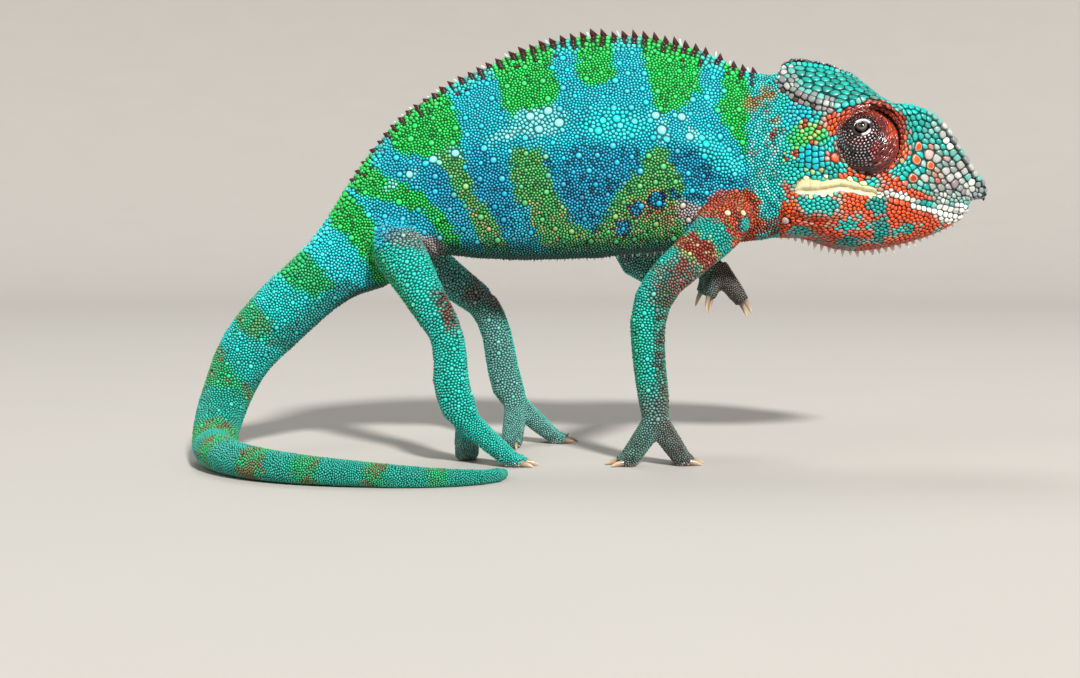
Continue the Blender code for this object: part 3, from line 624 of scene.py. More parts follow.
# Bars of the back and flank, as outlines in side view (x, z).
trunkBars = {
    "neckBar": ("green", ((36, 99), (41.4, 98), (41, 87), (39.8, 81), (40.3, 76.3), (40.9, 71.6), (39, 75),
                          (37.1, 78), (34.5, 81.3), (33.5, 85.9), (34.3, 91))),
    "saddle": ("green", ((15.6, 108), (28.6, 108), (30, 96.2), (28.8, 90.9), (26.4, 87.8), (23, 84.9),
                         (20.4, 83.0), (17.5, 86), (16.3, 91), (15.4, 96.2))),
    "withers": ("green", ((-1.6, 109), (7.4, 109), (8.2, 96.7), (9.1, 94.7), (7.5, 91.4), (3.9, 91.4),
                          (1, 90.2), (-0.7, 94.3))),
    "midBack": ("green", ((-22.5, 105), (-8, 108), (-6.7, 94.3), (-5.5, 89.9), (-6.2, 86.1), (-10, 85.1),
                          (-14.3, 84.7), (-16.9, 82.3), (-18.4, 85), (-19.6, 89), (-21.4, 95))),
    "hindBack": ("green", ((-50, 84), (-47, 92), (-39, 96), (-32.8, 89), (-30.1, 85.1), (-28.9, 79.1),
                           (-29.7, 74.6), (-34.9, 72.7), (-37.8, 73.1), (-42.6, 74.1), (-46.4, 77))),
    "hindBar": ("olive", ((-30.5, 76), (-29.5, 74), (-27.3, 68.3), (-23.4, 61.9), (-18.4, 53.5), (-16, 48),
                          (-22.5, 48), (-24.9, 55.4), (-28.2, 62.6), (-32.5, 68.3), (-36, 74))),
    "midBar": ("olive", ((-16.7, 75.5), (-9.3, 76), (-8.6, 69), (-6.2, 63.5), (-2.4, 58.7), (4.3, 54.4),
                         (9, 49), (-5.2, 48), (-10, 53.5), (-12.9, 59.5), (-15.8, 64.3), (-17.7, 69.8))),
    "foreTriangle": ("olive", ((17.7, 76.7), (20.6, 75.8), (22, 70.7), (25.4, 66.9), (24.4, 63), (25.9, 60.2),
                               (26, 52), (13.9, 51), (3.6, 52), (3.4, 55.9), (5.8, 59.2), (8.2, 64.5),
                               (12, 68.6), (15.4, 72.7))),
    "flankBar": ("green", ((-60, 70), (-55, 77), (-48.8, 70.3), (-44.5, 67.6), (-39.5, 65.5), (-34.4, 61.4),
                           (-30.9, 56.3), (-26.8, 48), (-32.5, 48), (-34.2, 55.1), (-37.8, 59.9),
                           (-42.3, 62.3), (-48.3, 63.5), (-53.1, 64.6))),
    "hipBar": ("green", ((-65, 62), (-58, 67), (-50.5, 58), (-49.8, 52.3), (-49.3, 46.3), (-47.1, 42),
                         (-51, 42), (-52.6, 48.2), (-56.7, 54.4), (-61, 57.8))),
    "tailRootBar": ("tailGreen", ((-79, 47), (-72, 54), (-62.4, 46), (-60.2, 41.7), (-65.3, 38.8),
                                  (-74.6, 44.9))),
}
# Soft patches of the flank by colour: (x, z), half-sizes, turn in degrees.
trunkPatches = {
    # The second deepBlue patch, at (27, 71), lies in the hollow under the shoulder ridge: painted shade.
    "deepBlue": (((5, 66), (13.5, 12), 0), ((27, 71), (6, 5), 0), ((-22, 66), (4.5, 11), 20),
                 ((-33, 66), (4, 6), 30)),
    # The second brightCyan patch, at (33.5, 74.5), runs along the shoulder ridge: a painted highlight.
    "brightCyan": (((8, 81.4), (8.6, 4.0), 0), ((33.5, 74.5), (8.5, 3), -35), ((31, 89), (1.4, 3), 0)),
    "paleMint": (((-10, 82), (6.2, 3.4), 0), ((-18.5, 78.8), (4.6, 1.8), 12),
                 ((19.3, 79.8), (1.9, 2.4), 0), ((17.8, 83.3), (1.2, 1.2), 0),
                 ((24.2, 83.2), (1.2, 1.2), 0), ((26, 78.4), (1.7, 1.3), 0),
                 ((-30.6, 74.4), (1.5, 1.3), 0), ((-35.8, 73), (1.7, 1.2), 0),
                 ((-41.6, 69.4), (1.7, 1.2), 0), ((-46.4, 67), (1.8, 1), 0)),
}
# The smooth pale band along both lips: where it starts and ends, its edges above and below the mouth.
lipStripe = {
    "from": 51.6, "to": 71.8, "above": ((51.6, 2.5), (54, 3.1), (57, 2.9), (60, 2.3), (71.8, 1.5)),
    "below": ((51.6, 0.9), (60, 1.4), (71.8, 1.0)), "height": 0.42, "plate": 2.6, "across": 11,
    "middle": (222, 214, 180), "edge": (206, 188, 124),
}
shoulderPatch = ((31.4, 59.5), (32.1, 63.4), (36.7, 65.8), (41, 66.2), (43.4, 63), (44, 53), (39, 52),
                 (35, 56))
# Patches of the head and neck: colour, (x, z), half-sizes, turn.
headPatches = (
    ("plateCyan", (52.5, 83), (4, 4), 0), ("spotGreen", (54.5, 78.2), (4.4, 2.8), 20),
    ("plateCyan", (55.4, 74), (3.4, 3.2), 0), ("teal", (60, 70.4), (2.6, 1.8), 0),
    ("red", (61.2, 81.6), (3.0, 2.6), 30), ("red", (59.6, 73.2), (1.1, 1.7), 0),
    ("orange", (78.4, 76.6), (1.2, 3.6), 0), ("orange", (73.6, 69.8), (2.3, 1.3), 35),
    ("red", (65.2, 69.2), (3.4, 0.8), 0), ("orange", (75.4, 67.6), (2.6, 0.9), -8),
    ("red", (86.6, 69.2), (1.3, 2.8), 0), ("red", (90.5, 67.4), (1.2, 1.0), 0),
    ("red", (79.2, 65.3), (7.4, 1.1), -10), ("turquoise", (57.6, 62.4), (5.4, 2.6), 0),
    ("red", (65.8, 62.4), (2.9, 2.4), 0), ("teal", (71.6, 62), (2.6, 2.4), 0),
    ("red", (78.6, 60.6), (3.0, 2.1), -10), ("red", (85.6, 59.4), (1.4, 1.1), 0),
    ("red", (49.3, 60), (3.2, 7.5), 8), ("turquoise", (48.9, 63.6), (1.2, 1.1), 0),
    ("turquoise", (53.4, 55.8), (3.1, 1.4), 0), ("turquoise", (64.4, 57), (2.6, 1.6), 0),
    ("teal", (73.2, 56.4), (2.0, 3.2), 0), ("teal", (65.6, 53.4), (3.2, 1.4), 0),
    ("teal", (80.4, 56.6), (1.2, 1.1), 0), ("teal", (58.6, 52.8), (2.0, 1.0), 0),
)
neckPatches = (
    ("ochre", (43.4, 88.0), (4.4, 2.8), 24), ("ochre", (46.4, 82.6), (2.2, 2.8), 0),
    ("brick", (47.0, 79.0), (1.4, 2.6), -20), ("brick", (45.6, 84.6), (1.6, 1.2), 30),
    ("brick", (46.5, 57), (3.6, 3.2), 0),
)
ringedSpots = ((53.8, 81.1), (56.6, 80.2), (55, 77.3), (52.4, 74.9), (48.9, 73.4), (54.9, 71), (57.2, 70.8))
flankSpots = (((18.2, 63.2), 2.0), ((13.4, 61.2), 1.7), ((22.4, 64.6), 1.1), ((10, 56.5), 1.8),
              ((-8.2, 72), 0.9))
tailBands = ((24, 3.2), (43, 4.4), (62, 3.8), (77, 3.2), (93, 3.0), (108, 2.8), (123, 2.4), (136, 2.0))


def lineFrom(root, name):  # the middle line of a node, starting at the end nearer the root
    line = axisOf(name)
    return line if np.linalg.norm(line[0] - root) < np.linalg.norm(line[-1] - root) else line[::-1]


tailParts, end = [], np.array((-58.0, 0.0, 50.0))
for k in range(1, 8):
    tailParts.append(lineFrom(end, f"tail_{k}"))
    end = tailParts[-1][-1]
tailLine = np.concatenate(tailParts)
# Each limb: its nodes from the body outwards, and the middle line of the first two.
limbs = {}
for upper, lower, foot, root in (("upper_arm", "forearm", "hand", (36, 0, 60)),
                                 ("thigh", "shank", "foot", (-49, 0, 58))):
    for side in ("left", "right"):
        parts = f"{upper}_{side}", f"{lower}_{side}", f"{foot}_outer_{side}", f"{foot}_inner_{side}"
        first = lineFrom(np.array(root, float), parts[0])
        limbs[upper, side] = parts, np.concatenate([first, lineFrom(first[-1], parts[1])])


def signedGap(xz, outline):  # distance to an outline, negative inside
    a = np.array(outline, float)
    b = np.roll(a, -1, axis=0)
    rel = xz[:, None] - a
    step = b - a
    t = np.clip((rel * step).sum(2) / (step * step).sum(1), 0, 1)
    gap = np.linalg.norm(rel - step * t[..., None], axis=2).min(1)
    crosses = (a[:, 1] > xz[:, 1:2]) != (b[:, 1] > xz[:, 1:2])
    drop = np.where(step[:, 1] == 0, 1e-9, step[:, 1])
    at = a[:, 0] + (xz[:, 1:2] - a[:, 1]) / drop * step[:, 0]
    inside = (crosses & (xz[:, :1] < at)).sum(1) % 2 == 1
    return np.where(inside, -gap, gap)


def ovalGap(xz, middle, sizes, turn):  # below 1 inside an oval
    a = math.radians(turn)
    rel = xz - middle
    u = rel[:, 0] * math.cos(a) + rel[:, 1] * math.sin(a)
    v = -rel[:, 0] * math.sin(a) + rel[:, 1] * math.cos(a)
    return np.hypot(u / sizes[0], v / sizes[1])


def paint(colours, share, name):
    colours += (linear(*paints[name]) - colours) * np.clip(share, 0, 1)[:, None]


def flecks(points, size, seed, low, high):  # from 0 to 1, uneven from place to place
    return ease(noise(points, size, seed), low, high)


def bodyMarks(colours, points, xz, labels, normals):
    body = np.flatnonzero(named(labels, "trunk", "neck", "tail_1", "thigh", "upper_arm"))
    on = colours[body]
    here, (bx, bz) = points[body], xz[body].T
    paint(on, ease(bz, 78, 70) * ease(bx, -54, -44) * 0.55, "deepBlue")
    ridgeGap = sizesOf(onLine(here, backLine)[1])
    paint(on, ease(ridgeGap, 6.0, 1.5) * (bx < 43) * 0.7, "ridgeMint")
    # among these patches are a painted highlight along the shoulder ridge and painted shade in the hollow
    # under it
    for colour, strength in (("deepBlue", 1.0), ("brightCyan", 0.85)):
        for middle, sizes, turn in trunkPatches[colour]:
            paint(on, ease(ovalGap(xz[body], middle, sizes, turn), 1.15, 0.65) * strength, colour)
    speckle = noise(here, 1.6, 9)
    paint(on, ease(speckle, 0.25, 0.6) * ease(bz, 78, 70) * ease(bx, -36, 0) * 0.52, "inkBlue")
    paint(on, ease(-bx, 48, 56) * 0.6, "brightCyan")
    for colour, outline in trunkBars.values():
        share = ease(-signedGap(xz[body], outline), -0.5, 0.5)
        paint(on, share, colour)
        if colour == "olive":
            lower = ease(bz, 68, 56)
            grain = flecks(here, 0.62, 12, 0.15, 0.5)
            paint(on, share * grain * (0.35 + 0.35 * lower), "yellowOlive")
            grain = flecks(here, 0.55, 13, 0.35, 0.6)
            paint(on, share * grain * (0.15 + 0.75 * lower), "tan")
    rust = ease(ovalGap(xz[body], (19, 60), (7.5, 3.4), -12), 1.1, 0.6)
    paint(on, rust * flecks(here, 0.7, 14, 0.0, 0.3) * 0.8, "brick")
    paint(on, rust * flecks(here, 0.6, 44, 0.2, 0.4) * 0.8, "tan")
    for middle, radius in flankSpots:
        gap = ovalGap(here[:, (0, 2)], middle, (radius, radius), 0)
        paint(on, ease(gap, 1.45, 1.2) * flecks(here, 0.6, 45, -0.3, 0.1) * 0.8, "ochre")
        paint(on, ease(gap, 1.2, 1.06), "inkBlue")
        paint(on, ease(gap, 0.95, 0.75), "deepBlue")
    mottle = 0.45 + 0.45 * flecks(here, 0.8, 51, -0.2, 0.4)
    for middle, sizes, turn in trunkPatches["paleMint"]:
        paint(on, ease(ovalGap(xz[body], middle, sizes, turn), 1.35, 0.6) * mottle, "paleMint")
    along, offset, _ = onLine(here, backLine)
    streak = np.cos(along * math.pi / spines["crest"]["step"] + 1.0 * noise(here, 2, 24))
    ridge = ease(sizesOf(offset), 3.6, 1.4) * (bx < 43) * (bx > -57)
    paint(on, ridge * ease(streak, 0.0, 0.5) * 0.45, "spineBrown")
    # Darker teal low on the flank, partly the belly's own colour and partly painted shade; every part facing
    # down underneath is painted darker as shade.
    belly = ease(bz, 56, 50.5) * (bx > -45)
    paint(on, belly * 0.75, "shadedBellyTeal")
    paint(on, ease(np.abs(here[:, 1]), 6, 3) * ease(-normals[body, 2], 0.5, 0.9), "shadedBellyTeal")
    atNeck = ease(bx, 39.5, 43.5)
    paint(on, atNeck * 0.9, "neckCyan")
    for colour, middle, sizes, turn in neckPatches:
        share = ease(ovalGap(xz[body], middle, sizes, turn), 1.2, 0.5)
        paint(on, share * flecks(here, 1.4, 15, -0.4, 0.2), colour)
    curls = np.hypot(bx - 54.5, (bz - 72) * 0.8) + 0.6 * noise(here, 3.4, 16)
    curls = np.abs(np.sin(curls * 1.2))  # folds that bend round the cheek
    paint(on, atNeck * ease(curls, 0.84, 0.98) * 0.7, "teal")
    # painted highlight: pale mint along the crests of these folds
    paint(on, atNeck * ease(curls, 0.48, 0.25) * ease(bz, 86, 80) * ease(bz, 58, 62) * 0.85, "paleMint")
    paint(on, atNeck * flecks(here, 1.5, 41, 0.50, 0.66) * ease(bz, 66, 74) * 0.75, "brick")
    grain = flecks(here, 1.2, 42, 0.45, 0.6)
    paint(on, atNeck * grain * ease(np.abs(bz - 74), 8, 4) * 0.7, "chalk")
    folds = ease(ovalGap(xz[body], (26.8, 60.4), (4.2, 2.6), -20), 1.2, 0.6)
    folds = np.maximum(folds, ease(ovalGap(xz[body], (-38.5, 52.6), (5.4, 2.4), -12), 1.3, 0.5))
    paint(on, folds * 0.85, "fleshPink")
    shoulder = ease(-signedGap(xz[body], shoulderPatch), -0.7, 0.4)
    paint(on, shoulder, "orange")
    paint(on, shoulder * flecks(here, 0.7, 17, -0.4, 0.1) * 0.9, "brick")
    grain = flecks(here, 0.6, 46, 0.4, 0.6)
    paint(on, shoulder * grain * (0.4 + 0.6 * ease(bz, 61, 64)), "olive")
    colours[body] = on


def tailMarks(colours, points, xz, labels):
    tail = np.flatnonzero(named(labels, "tail"))
    along, offset, _ = onLine(points[tail], tailLine)
    on, here = colours[tail], points[tail]
    first = ease(along, 0, 12)
    paint(on, first, "tailTurquoise")
    paint(on, ease(along, 22, 48) * 0.85, "tailTeal")
    wobble = along + 1.1 * noise(here, 2.5, 18)
    for middle, width in tailBands:
        share = ease(-np.abs(wobble - middle), -width - 0.8, -width + 0.8)
        upper = ease(offset[:, 2] + 2.0, -1.5, 2.0) * 0.6 + 0.4
        paint(on, share * upper * 0.9, "tailGreen")
        paint(on, share * flecks(here, 1.5, 19, -0.15, 0.4) * min(1, middle / 50), "tailBrown")
    share = ease(-signedGap(xz[tail], trunkBars["tailRootBar"][1]), -0.8, 0.8)
    paint(on, share, "tailGreen")
    # the tail's underside darker teal, partly its own colour and partly painted shade
    paint(on, ease(-offset[:, 2], 1.5, 4.5) * (along < 40) * 0.6, "shadedBellyTeal")
    colours[tail] = on


def limbMarks(colours, points, labels):
    for (upper, side), (parts, line) in limbs.items():
        at = np.flatnonzero(named(labels, *parts))
        along, offset, _ = onLine(points[at], line)
        reach = sizesOf(np.diff(line, axis=0)).sum()
        on, here = colours[at], points[at]
        wobble = along / reach + 0.02 * noise(here, 2.0, 20)
        paint(on, ease(wobble, 0.02, 0.12) if upper == "thigh" else np.ones(len(at)), "legTurquoise")
        speck = flecks(here, 1.3, 21, -0.1, 0.3)
        if upper == "upper_arm":
            paint(on, ease(wobble, 0.42, 0.30) * 0.5, "teal")
            root = ease(wobble, 0.20, 0.13)
            paint(on, root, "orange")
            paint(on, root * flecks(here, 0.7, 43, -0.4, 0.1) * 0.9, "brick")
            paint(on, root * flecks(here, 0.6, 47, 0.4, 0.6) * 0.7, "olive")
            band = ease(np.abs(wobble - 0.31), 0.044, 0.022)
            paint(on, band, "brick")
            paint(on, band * flecks(here, 0.6, 48, 0.2, 0.5) * 0.8, "tan")
            border = ease(np.abs(np.abs(wobble - 0.31) - 0.042), 0.018, 0.008)
            paint(on, border * speck * 0.8, "yellowOlive")
            mixed = flecks(here, 0.7, 55, -0.3, 0.2)
            elbow = ease(np.abs(wobble - 0.47), 0.14, 0.09) * ease(offset[:, 0], -2.8, 0.4)
            paint(on, elbow * mixed * 0.9, "brick")
            paint(on, elbow * (1 - mixed) * 0.75, "umber")
            front = ease(offset[:, 0], -0.2, 1.8) * ease(wobble, 0.44, 0.54)
            paint(on, front * (0.35 + 0.65 * mixed) * 0.95, "umber")
            paint(on, front * flecks(here, 0.6, 56, 0.3, 0.5) * 0.45, "olive")
            paint(on, ease(-offset[:, 0], 1.0, 3.5) * ease(wobble, 0.55, 0.7) * 0.35, "spotGreen")
        else:
            knee = ease(np.abs(wobble - 0.50), 0.13, 0.07) * ease(offset[:, 0], -0.6, 1.4)
            paint(on, knee * (0.5 + 0.5 * speck), "umber")
            paint(on, knee * flecks(here, 0.7, 57, 0.1, 0.4) * 0.8, "brick")
            paint(on, ease(-offset[:, 0], 2.4, 4.2) * ease(wobble, 0.6, 0.4) * 0.5, "spotGreen")
        inner = ease(-offset[:, 1] * (-1 if side == "right" else 1), 0.5, 3.0)
        paint(on, inner * 0.55, "grey")
        onFeet = named(labels[at], *parts[2:])
        if upper == "upper_arm":
            paint(on, ease(wobble, 0.86, 0.99) * 0.75, "footGrey")
            paint(on, onFeet * 0.35 * speck, "darkGrey")
            paint(on, onFeet * (0.6 if side == "left" else 0.25) * ease(offset[:, 0], -1, 2), "palmBrown")
        low = ease(points[at, 2], 6.5, 1.0) * onFeet
        paint(on, low * 0.55 * speck, "darkGrey")
        paint(on, ease(points[at, 2], 1.0, 0.3) * onFeet * 0.8, "fleshPink")
        colours[at] = on


def foldMarks(colours, points, xz, labels):  # at the hip, and a ringed spot on the shoulder
    at = np.flatnonzero(named(labels, "trunk", "thigh") & (xz[:, 0] < -30))
    on, here = colours[at], points[at]
    folded = ease(ovalGap(xz[at], (-41.5, 53.6), (5.6, 2.2), -14), 1.3, 0.5)
    paint(on, folded * 0.55, "greyPurple")
    paint(on, folded * flecks(here, 0.9, 58, 0.0, 0.4) * 0.6, "umber")
    colours[at] = on
    at = np.flatnonzero(named(labels, "trunk", "neck", "upper_arm") & (xz[:, 0] > 35))
    on, gap = colours[at], ovalGap(points[at][:, (0, 2)], (39.2, 57.2), (1.7, 1.7), 0)
    paint(on, ease(gap, 1.35, 1.15), "umber")
    paint(on, ease(gap, 0.95, 0.75), "turquoise")
    colours[at] = on


def headMarks(colours, points, xz, labels, normals):
    at = np.flatnonzero(named(labels, "head", "lower_jaw"))
    on, here = colours[at], points[at]
    flat, hx, hz = xz[at] * 0.5 + here[:, (0, 2)] * 0.5, here[:, 0], here[:, 2]
    lipGap = hz - heightOn(headLines["mouth"], hx)
    paint(on, np.ones(len(at)), "turquoise")
    crestGap = hz - heightOn(headLines["sideCrest"], hx)
    paint(on, ease(crestGap, -0.2, 0.6) * ease(hx, 78, 72), "casqueTeal")
    jawRed = ease(-lipGap, 0.2, 1.2) * ease(hx, 50, 53)
    paint(on, jawRed * flecks(here, 2.6, 22, -0.45, 0.05), "red")
    paint(on, ease(-lipGap, 4.0, 7.5) * ease(noise(here * (0.5, 1, 1), 1.5, 23), -0.3, 0.2) * 0.85, "red")
    ring = turretGap(here)
    brow = ease(ring, 10.6, 9.6) * ease(np.abs(here[:, 1]), 4, 6)
    paint(on, brow * ease(hz + (hx - 66) * 0.3, 80, 84), "brick")
    paint(on, brow * ease(ring, 9.4, 9.0) * 0.7, "brick")
    for colour, middle, sizes, turn in headPatches:
        paint(on, ease(ovalGap(flat, middle, sizes, turn), 1.25, 0.8), colour)
    snoutTop = ease(hx - 0.4 * (hz - 72), 86.6, 89.6) * ease(lipGap, 1.8, 3.4)
    front = ease(hx, 77, 81) * ease(lipGap, 2.6, 3.6)
    paint(on, front * 0.45, "teal")
    paint(on, front * flecks(here, 1.5, 53, 0.05, 0.3) * ease(hx - 0.3 * (hz - 72), 80, 86), "chalk")
    paint(on, front * flecks(here, 1.5, 54, 0.30, 0.45) * ease(hz, 78, 74) * 0.9, "red")
    paint(on, snoutTop * 0.85, "ash")
    paint(on, snoutTop * flecks(here, 1.3, 59, -0.1, 0.2) * 0.7, "chalk")
    paint(on, ease(hx, 95, 98.5) * 0.6, "grey")
    for spot in ringedSpots:
        gap = sizesOf(flat - spot)
        paint(on, ease(gap, 1.6, 1.2) * 0.8, "yellowOlive")
        paint(on, ease(gap, 1.05, 0.7), "brick")
    above, below = (heightOn(lipStripe[k], hx) for k in ("above", "below"))
    stripe = ease(above - lipGap, -0.1, 0.3) * ease(lipGap + below, -0.1, 0.3) * ease(
        hx, lipStripe["from"], lipStripe["from"] + 0.6) * ease(-hx, -lipStripe["to"], 0.6 - lipStripe["to"])
    paint(on, stripe, "cream")
    upperLip = ease(np.abs(lipGap - 0.75), 0.95, 0.7) * ease(hx, 71.5, 72.5)
    paint(on, upperLip * ease(hx, 84, 80), "white")
    frontLip = ease(np.abs(lipGap), 2.3, 1.9) * ease(hx, 85, 87.5)
    paint(on, frontLip, "white")
    lowerLip = ease(np.abs(lipGap + 0.8), 1.0, 0.7) * ease(hx, 80, 83)
    paint(on, lowerLip * 0.8, "white")
    rim = ease(lineGap(here[:, (0, 2)], headLines["sideCrest"]), 1.9, 1.4) * ease(hx, 63, 60)
    paint(on, rim * 0.75, "greyPurple")
    paint(on, ease(np.abs(here[:, 1]), 1.4, 0.8) * ease(hz, 80, 84) * ease(hx, 49, 51) * 0.8, "greyPurple")
    paint(on, ease(hx, 50.2, 49.2) * ease(hz, 90, 93) * 0.8, "white")
    # painted shade: the underside of the throat, where it faces down, is darkened toward brick
    under = ease(-normals[at, 2], 0.75, 0.95) * ease(-lipGap, 5, 8)
    paint(on, under * 0.5, "brick")
    colours[at] = on


def marksAt(points, labels, normals):
    colours = np.tile(linear(*paints["cyan"]), (len(points), 1))
    xz = points[:, (0, 2)] + 0.9 * np.stack([noise(points, 3.2, 5), noise(points, 3.2, 6)], 1)
    xz += 0.35 * np.stack([noise(points, 1.1, 7), noise(points, 1.1, 8)], 1)
    bodyMarks(colours, points, xz, labels, normals)
    tailMarks(colours, points, xz, labels)
    limbMarks(colours, points, labels)
    foldMarks(colours, points, xz, labels)
    headMarks(colours, points, xz, labels, normals)
    return colours


skinColours = marksAt(skinPoints, skinLabels, skinNormals)
print("marks painted on the skin")

# The coat: how wide the scales are from middle to middle, how stretched and how high.
coatLook = {
    "trunk": 0.72, "belly": 0.62, "neck": 0.68, "tail": (0.71, 0.45), "upperLimb": 0.69, "lowerLimb": 0.67,
    "foot": 0.56, "casque": 1.60, "snout": 1.30, "temple": 1.10, "cheek": 0.9, "jaw": 0.85, "throat": 0.72,
    "frontLip": 1.08, "tubercleGap": 3.6, "tubercleRadius": 0.74, "limbTubercleGap": 3.0,
    "limbTubercleRadius": 0.50, "quickRounds": 5, "settleRounds": 16, "mostTriangles": 190000,
    "tailReach": 145, "candidates": 9,
}
rowRatio = 0.866  # from row to row, as a share of the width of a scale


def coatAt(points, labels, normals):  # pitch, stretch, axis of the stretch and height of the scales
    count = len(points)
    pitch = np.full(count, coatLook["trunk"])
    stretch = np.ones(count)
    axis = np.tile((1.0, 0.0, 0.0), (count, 1))
    height = np.full(count, 0.43)
    z = points[:, 2]
    trunk = named(labels, "trunk")
    pitch = np.where(trunk & (z < 60), np.interp(z, (49, 60), (coatLook["belly"], coatLook["trunk"])), pitch)
    for middle, sizes, turn in trunkPatches["brightCyan"] + trunkPatches["paleMint"]:
        near = ease(ovalGap(points[:, (0, 2)], middle, sizes, turn), 1.3, 0.7) * trunk
        pitch = np.maximum(pitch, coatLook["trunk"] + 0.22 * near)
    pitch = np.where(named(labels, "neck"), coatLook["neck"], pitch)
    tail = named(labels, "tail")
    along, _, way = onLine(points[tail], tailLine)
    pitch[tail] = np.interp(along, (0, coatLook["tailReach"]), coatLook["tail"])
    axis[tail] = unit(np.cross(way, normals[tail]))
    stretch[tail] = 1.12
    pitch = np.where(named(labels, "upper_arm", "thigh"), coatLook["upperLimb"], pitch)
    pitch = np.where(named(labels, "forearm", "shank"), coatLook["lowerLimb"], pitch)
    foot = named(labels, "hand", "foot")
    pitch = np.where(foot, coatLook["foot"], pitch)
    for parts, line in limbs.values():
        at = np.flatnonzero(named(labels, *parts[:2]))
        _, _, way = onLine(points[at], line)
        axis[at] = unit(np.cross(way, normals[at]))
        stretch[at] = np.where(named(labels[at], "thigh"), 1.35, 1.15)
    head = np.flatnonzero(named(labels, "head", "lower_jaw"))
    p = points[head]
    hx, hy, hz = p.T
    lipGap = hz - heightOn(headLines["mouth"], hx)
    size = np.full(len(head), coatLook["cheek"])
    long = np.full(len(head), 1.1)
    casque = (hz - heightOn(headLines["sideCrest"], hx) > 0.3) & (hx < 76)
    size = np.where(casque, coatLook["casque"], size)
    snout = (hx > 76) & (lipGap > 4)
    size = np.where(snout, np.interp(hx, (90, 97), (coatLook["snout"], 0.95)), size)
    long = np.where(casque, 1.5, np.where(snout, 1.3, long))
    temple = (hx < 62) & (lipGap > 4) & ~casque
    size = np.where(temple, coatLook["temple"], size)
    jaw = (lipGap < -2) & (lipGap > -6)
    size = np.where(jaw, coatLook["jaw"], size)
    size = np.where((np.abs(lipGap) < 2.3) & (hx > 84), coatLook["frontLip"], size)
    throat = lipGap <= -6
    size = np.where(throat, coatLook["throat"], size)
    long = np.where(throat, 1.75, np.where(jaw, 1.3, long))
    slope = np.where(hx < 65, -0.15, np.where(hx < 76, -0.65, -0.62)) * (lipGap > 4)
    way = np.stack([np.ones(len(head)), np.zeros(len(head)), slope], 1)
    ring = turretGap(p)
    about = (ring < 11.5) & (np.abs(hy) > 4) & ~casque
    middle = np.where(hy[:, None] < 0, turret["right"]["centre"], turret["left"]["centre"])
    spoke = p - middle
    around = np.stack([-spoke[:, 2], np.zeros(len(head)), spoke[:, 0]], 1)
    way = np.where(about[:, None], around, way)
    size = np.where(about, 0.85, size)
    long = np.where(about, 1.7, long)
    growing = np.interp(hx, (47.5, 57), (coatLook["neck"] + 0.04, 1.15))
    size = np.where((hx < 57) & ~casque, np.minimum(size, growing), size)
    pitch[head], stretch[head], axis[head] = size, long, way
    height[head] = np.where(casque | snout, 0.26, 0.32)
    axis = unit(alongSkin(axis, normals))
    return pitch, stretch, axis, height


# Scales set in given rows: a line in side view, how far above it, the radius, stretch and height of
# each scale, its colours in turn (none: the marks under it) and how much it varies.
scaleRows = {
    "crestRow": (headLines["sideCrest"][:5], 0.0, 0.76, 1.1, 0.54, ("ash", "greyPurple", "chalk"), 0.28),
    "crestRowUpper": (headLines["sideCrest"][:5], 1.45, 0.62, 1.2, 0.42, ("ash", "mistTeal", "ash"), 0.30),
    "crestRowLower": (headLines["sideCrest"][:5], -1.35, 0.56, 1.1, 0.40,
                      ("greyPurple", "ash", "umber"), 0.30),
    "crestFore": (headLines["sideCrest"][4:], 0.0, 0.70, 1.4, 0.38, ("turquoise", "mistTeal"), 0.2),
    "rearRow": (((50.2, 96.6), (49.8, 95.0), (50.2, 93.0), (51.4, 91.3)), 0.0, 0.66, 1.1, 0.45,
                ("ash", "chalk", "greyPurple"), 0.3),
    "rearRowInner": (((51.9, 97.0), (51.5, 95.4), (51.9, 93.6), (53.3, 91.8)), 0.0, 0.62, 1.15, 0.42,
                     ("chalk", "mistTeal", "ash"), 0.3),
    "canthusRear": (headLines["canthus"][:3], 0.0, 0.74, 1.2, 0.52,
                    ("turquoise", "mistTeal", "turquoise"), 0.22),
    "canthusRow": (headLines["canthus"][2:], 0.0, 0.86, 1.1, 0.66, ("chalk", "mistTeal", "ash"), 0.25),
    "canthusRowLower": (headLines["canthus"][3:], -1.75, 0.86, 1.05, 0.60,
                        ("chalk", "mistTeal", "white"), 0.25),
    "canthusRowLowest": (((89.4, 75.4), (92.6, 71.2), (95.4, 67.6)), 0.0, 0.98, 1.0, 0.60,
                         ("chalk", "white", "ash"), 0.22),
    "noseRow": (((88.6, 71.2), (90.6, 68.0), (93.6, 65.4)), 0.0, 0.92, 1.0, 0.56,
                ("ash", "chalk", "greyPurple"), 0.25),
    "templeOvalRear": (((53.2, 76.2), (53.0, 71.6)), 0.0, 0.56, 1.35, 0.36, ("plateCyan", "turquoise"), 0.25),
    "templeOvalNext": (((54.7, 76.9), (54.6, 71.4)), 0.0, 0.62, 1.5, 0.38, ("plateCyan",), 0.25),
    "templeOvalFore": (((56.2, 76.4), (56.3, 71.2)), 0.0, 0.62, 1.4, 0.38, ("plateCyan",), 0.25),
    "templeOvalLast": (((57.6, 75.0), (57.8, 71.4)), 0.0, 0.54, 1.3, 0.34, ("turquoise", "plateCyan"), 0.25),
    "upperLipRow": (headLines["mouth"][3:], 0.78, 0.60, 1.2, 0.36, (), 0.08),
    "lowerLipRow": (headLines["mouth"][3:], -0.78, 0.60, 1.2, 0.36, (), 0.08),
}
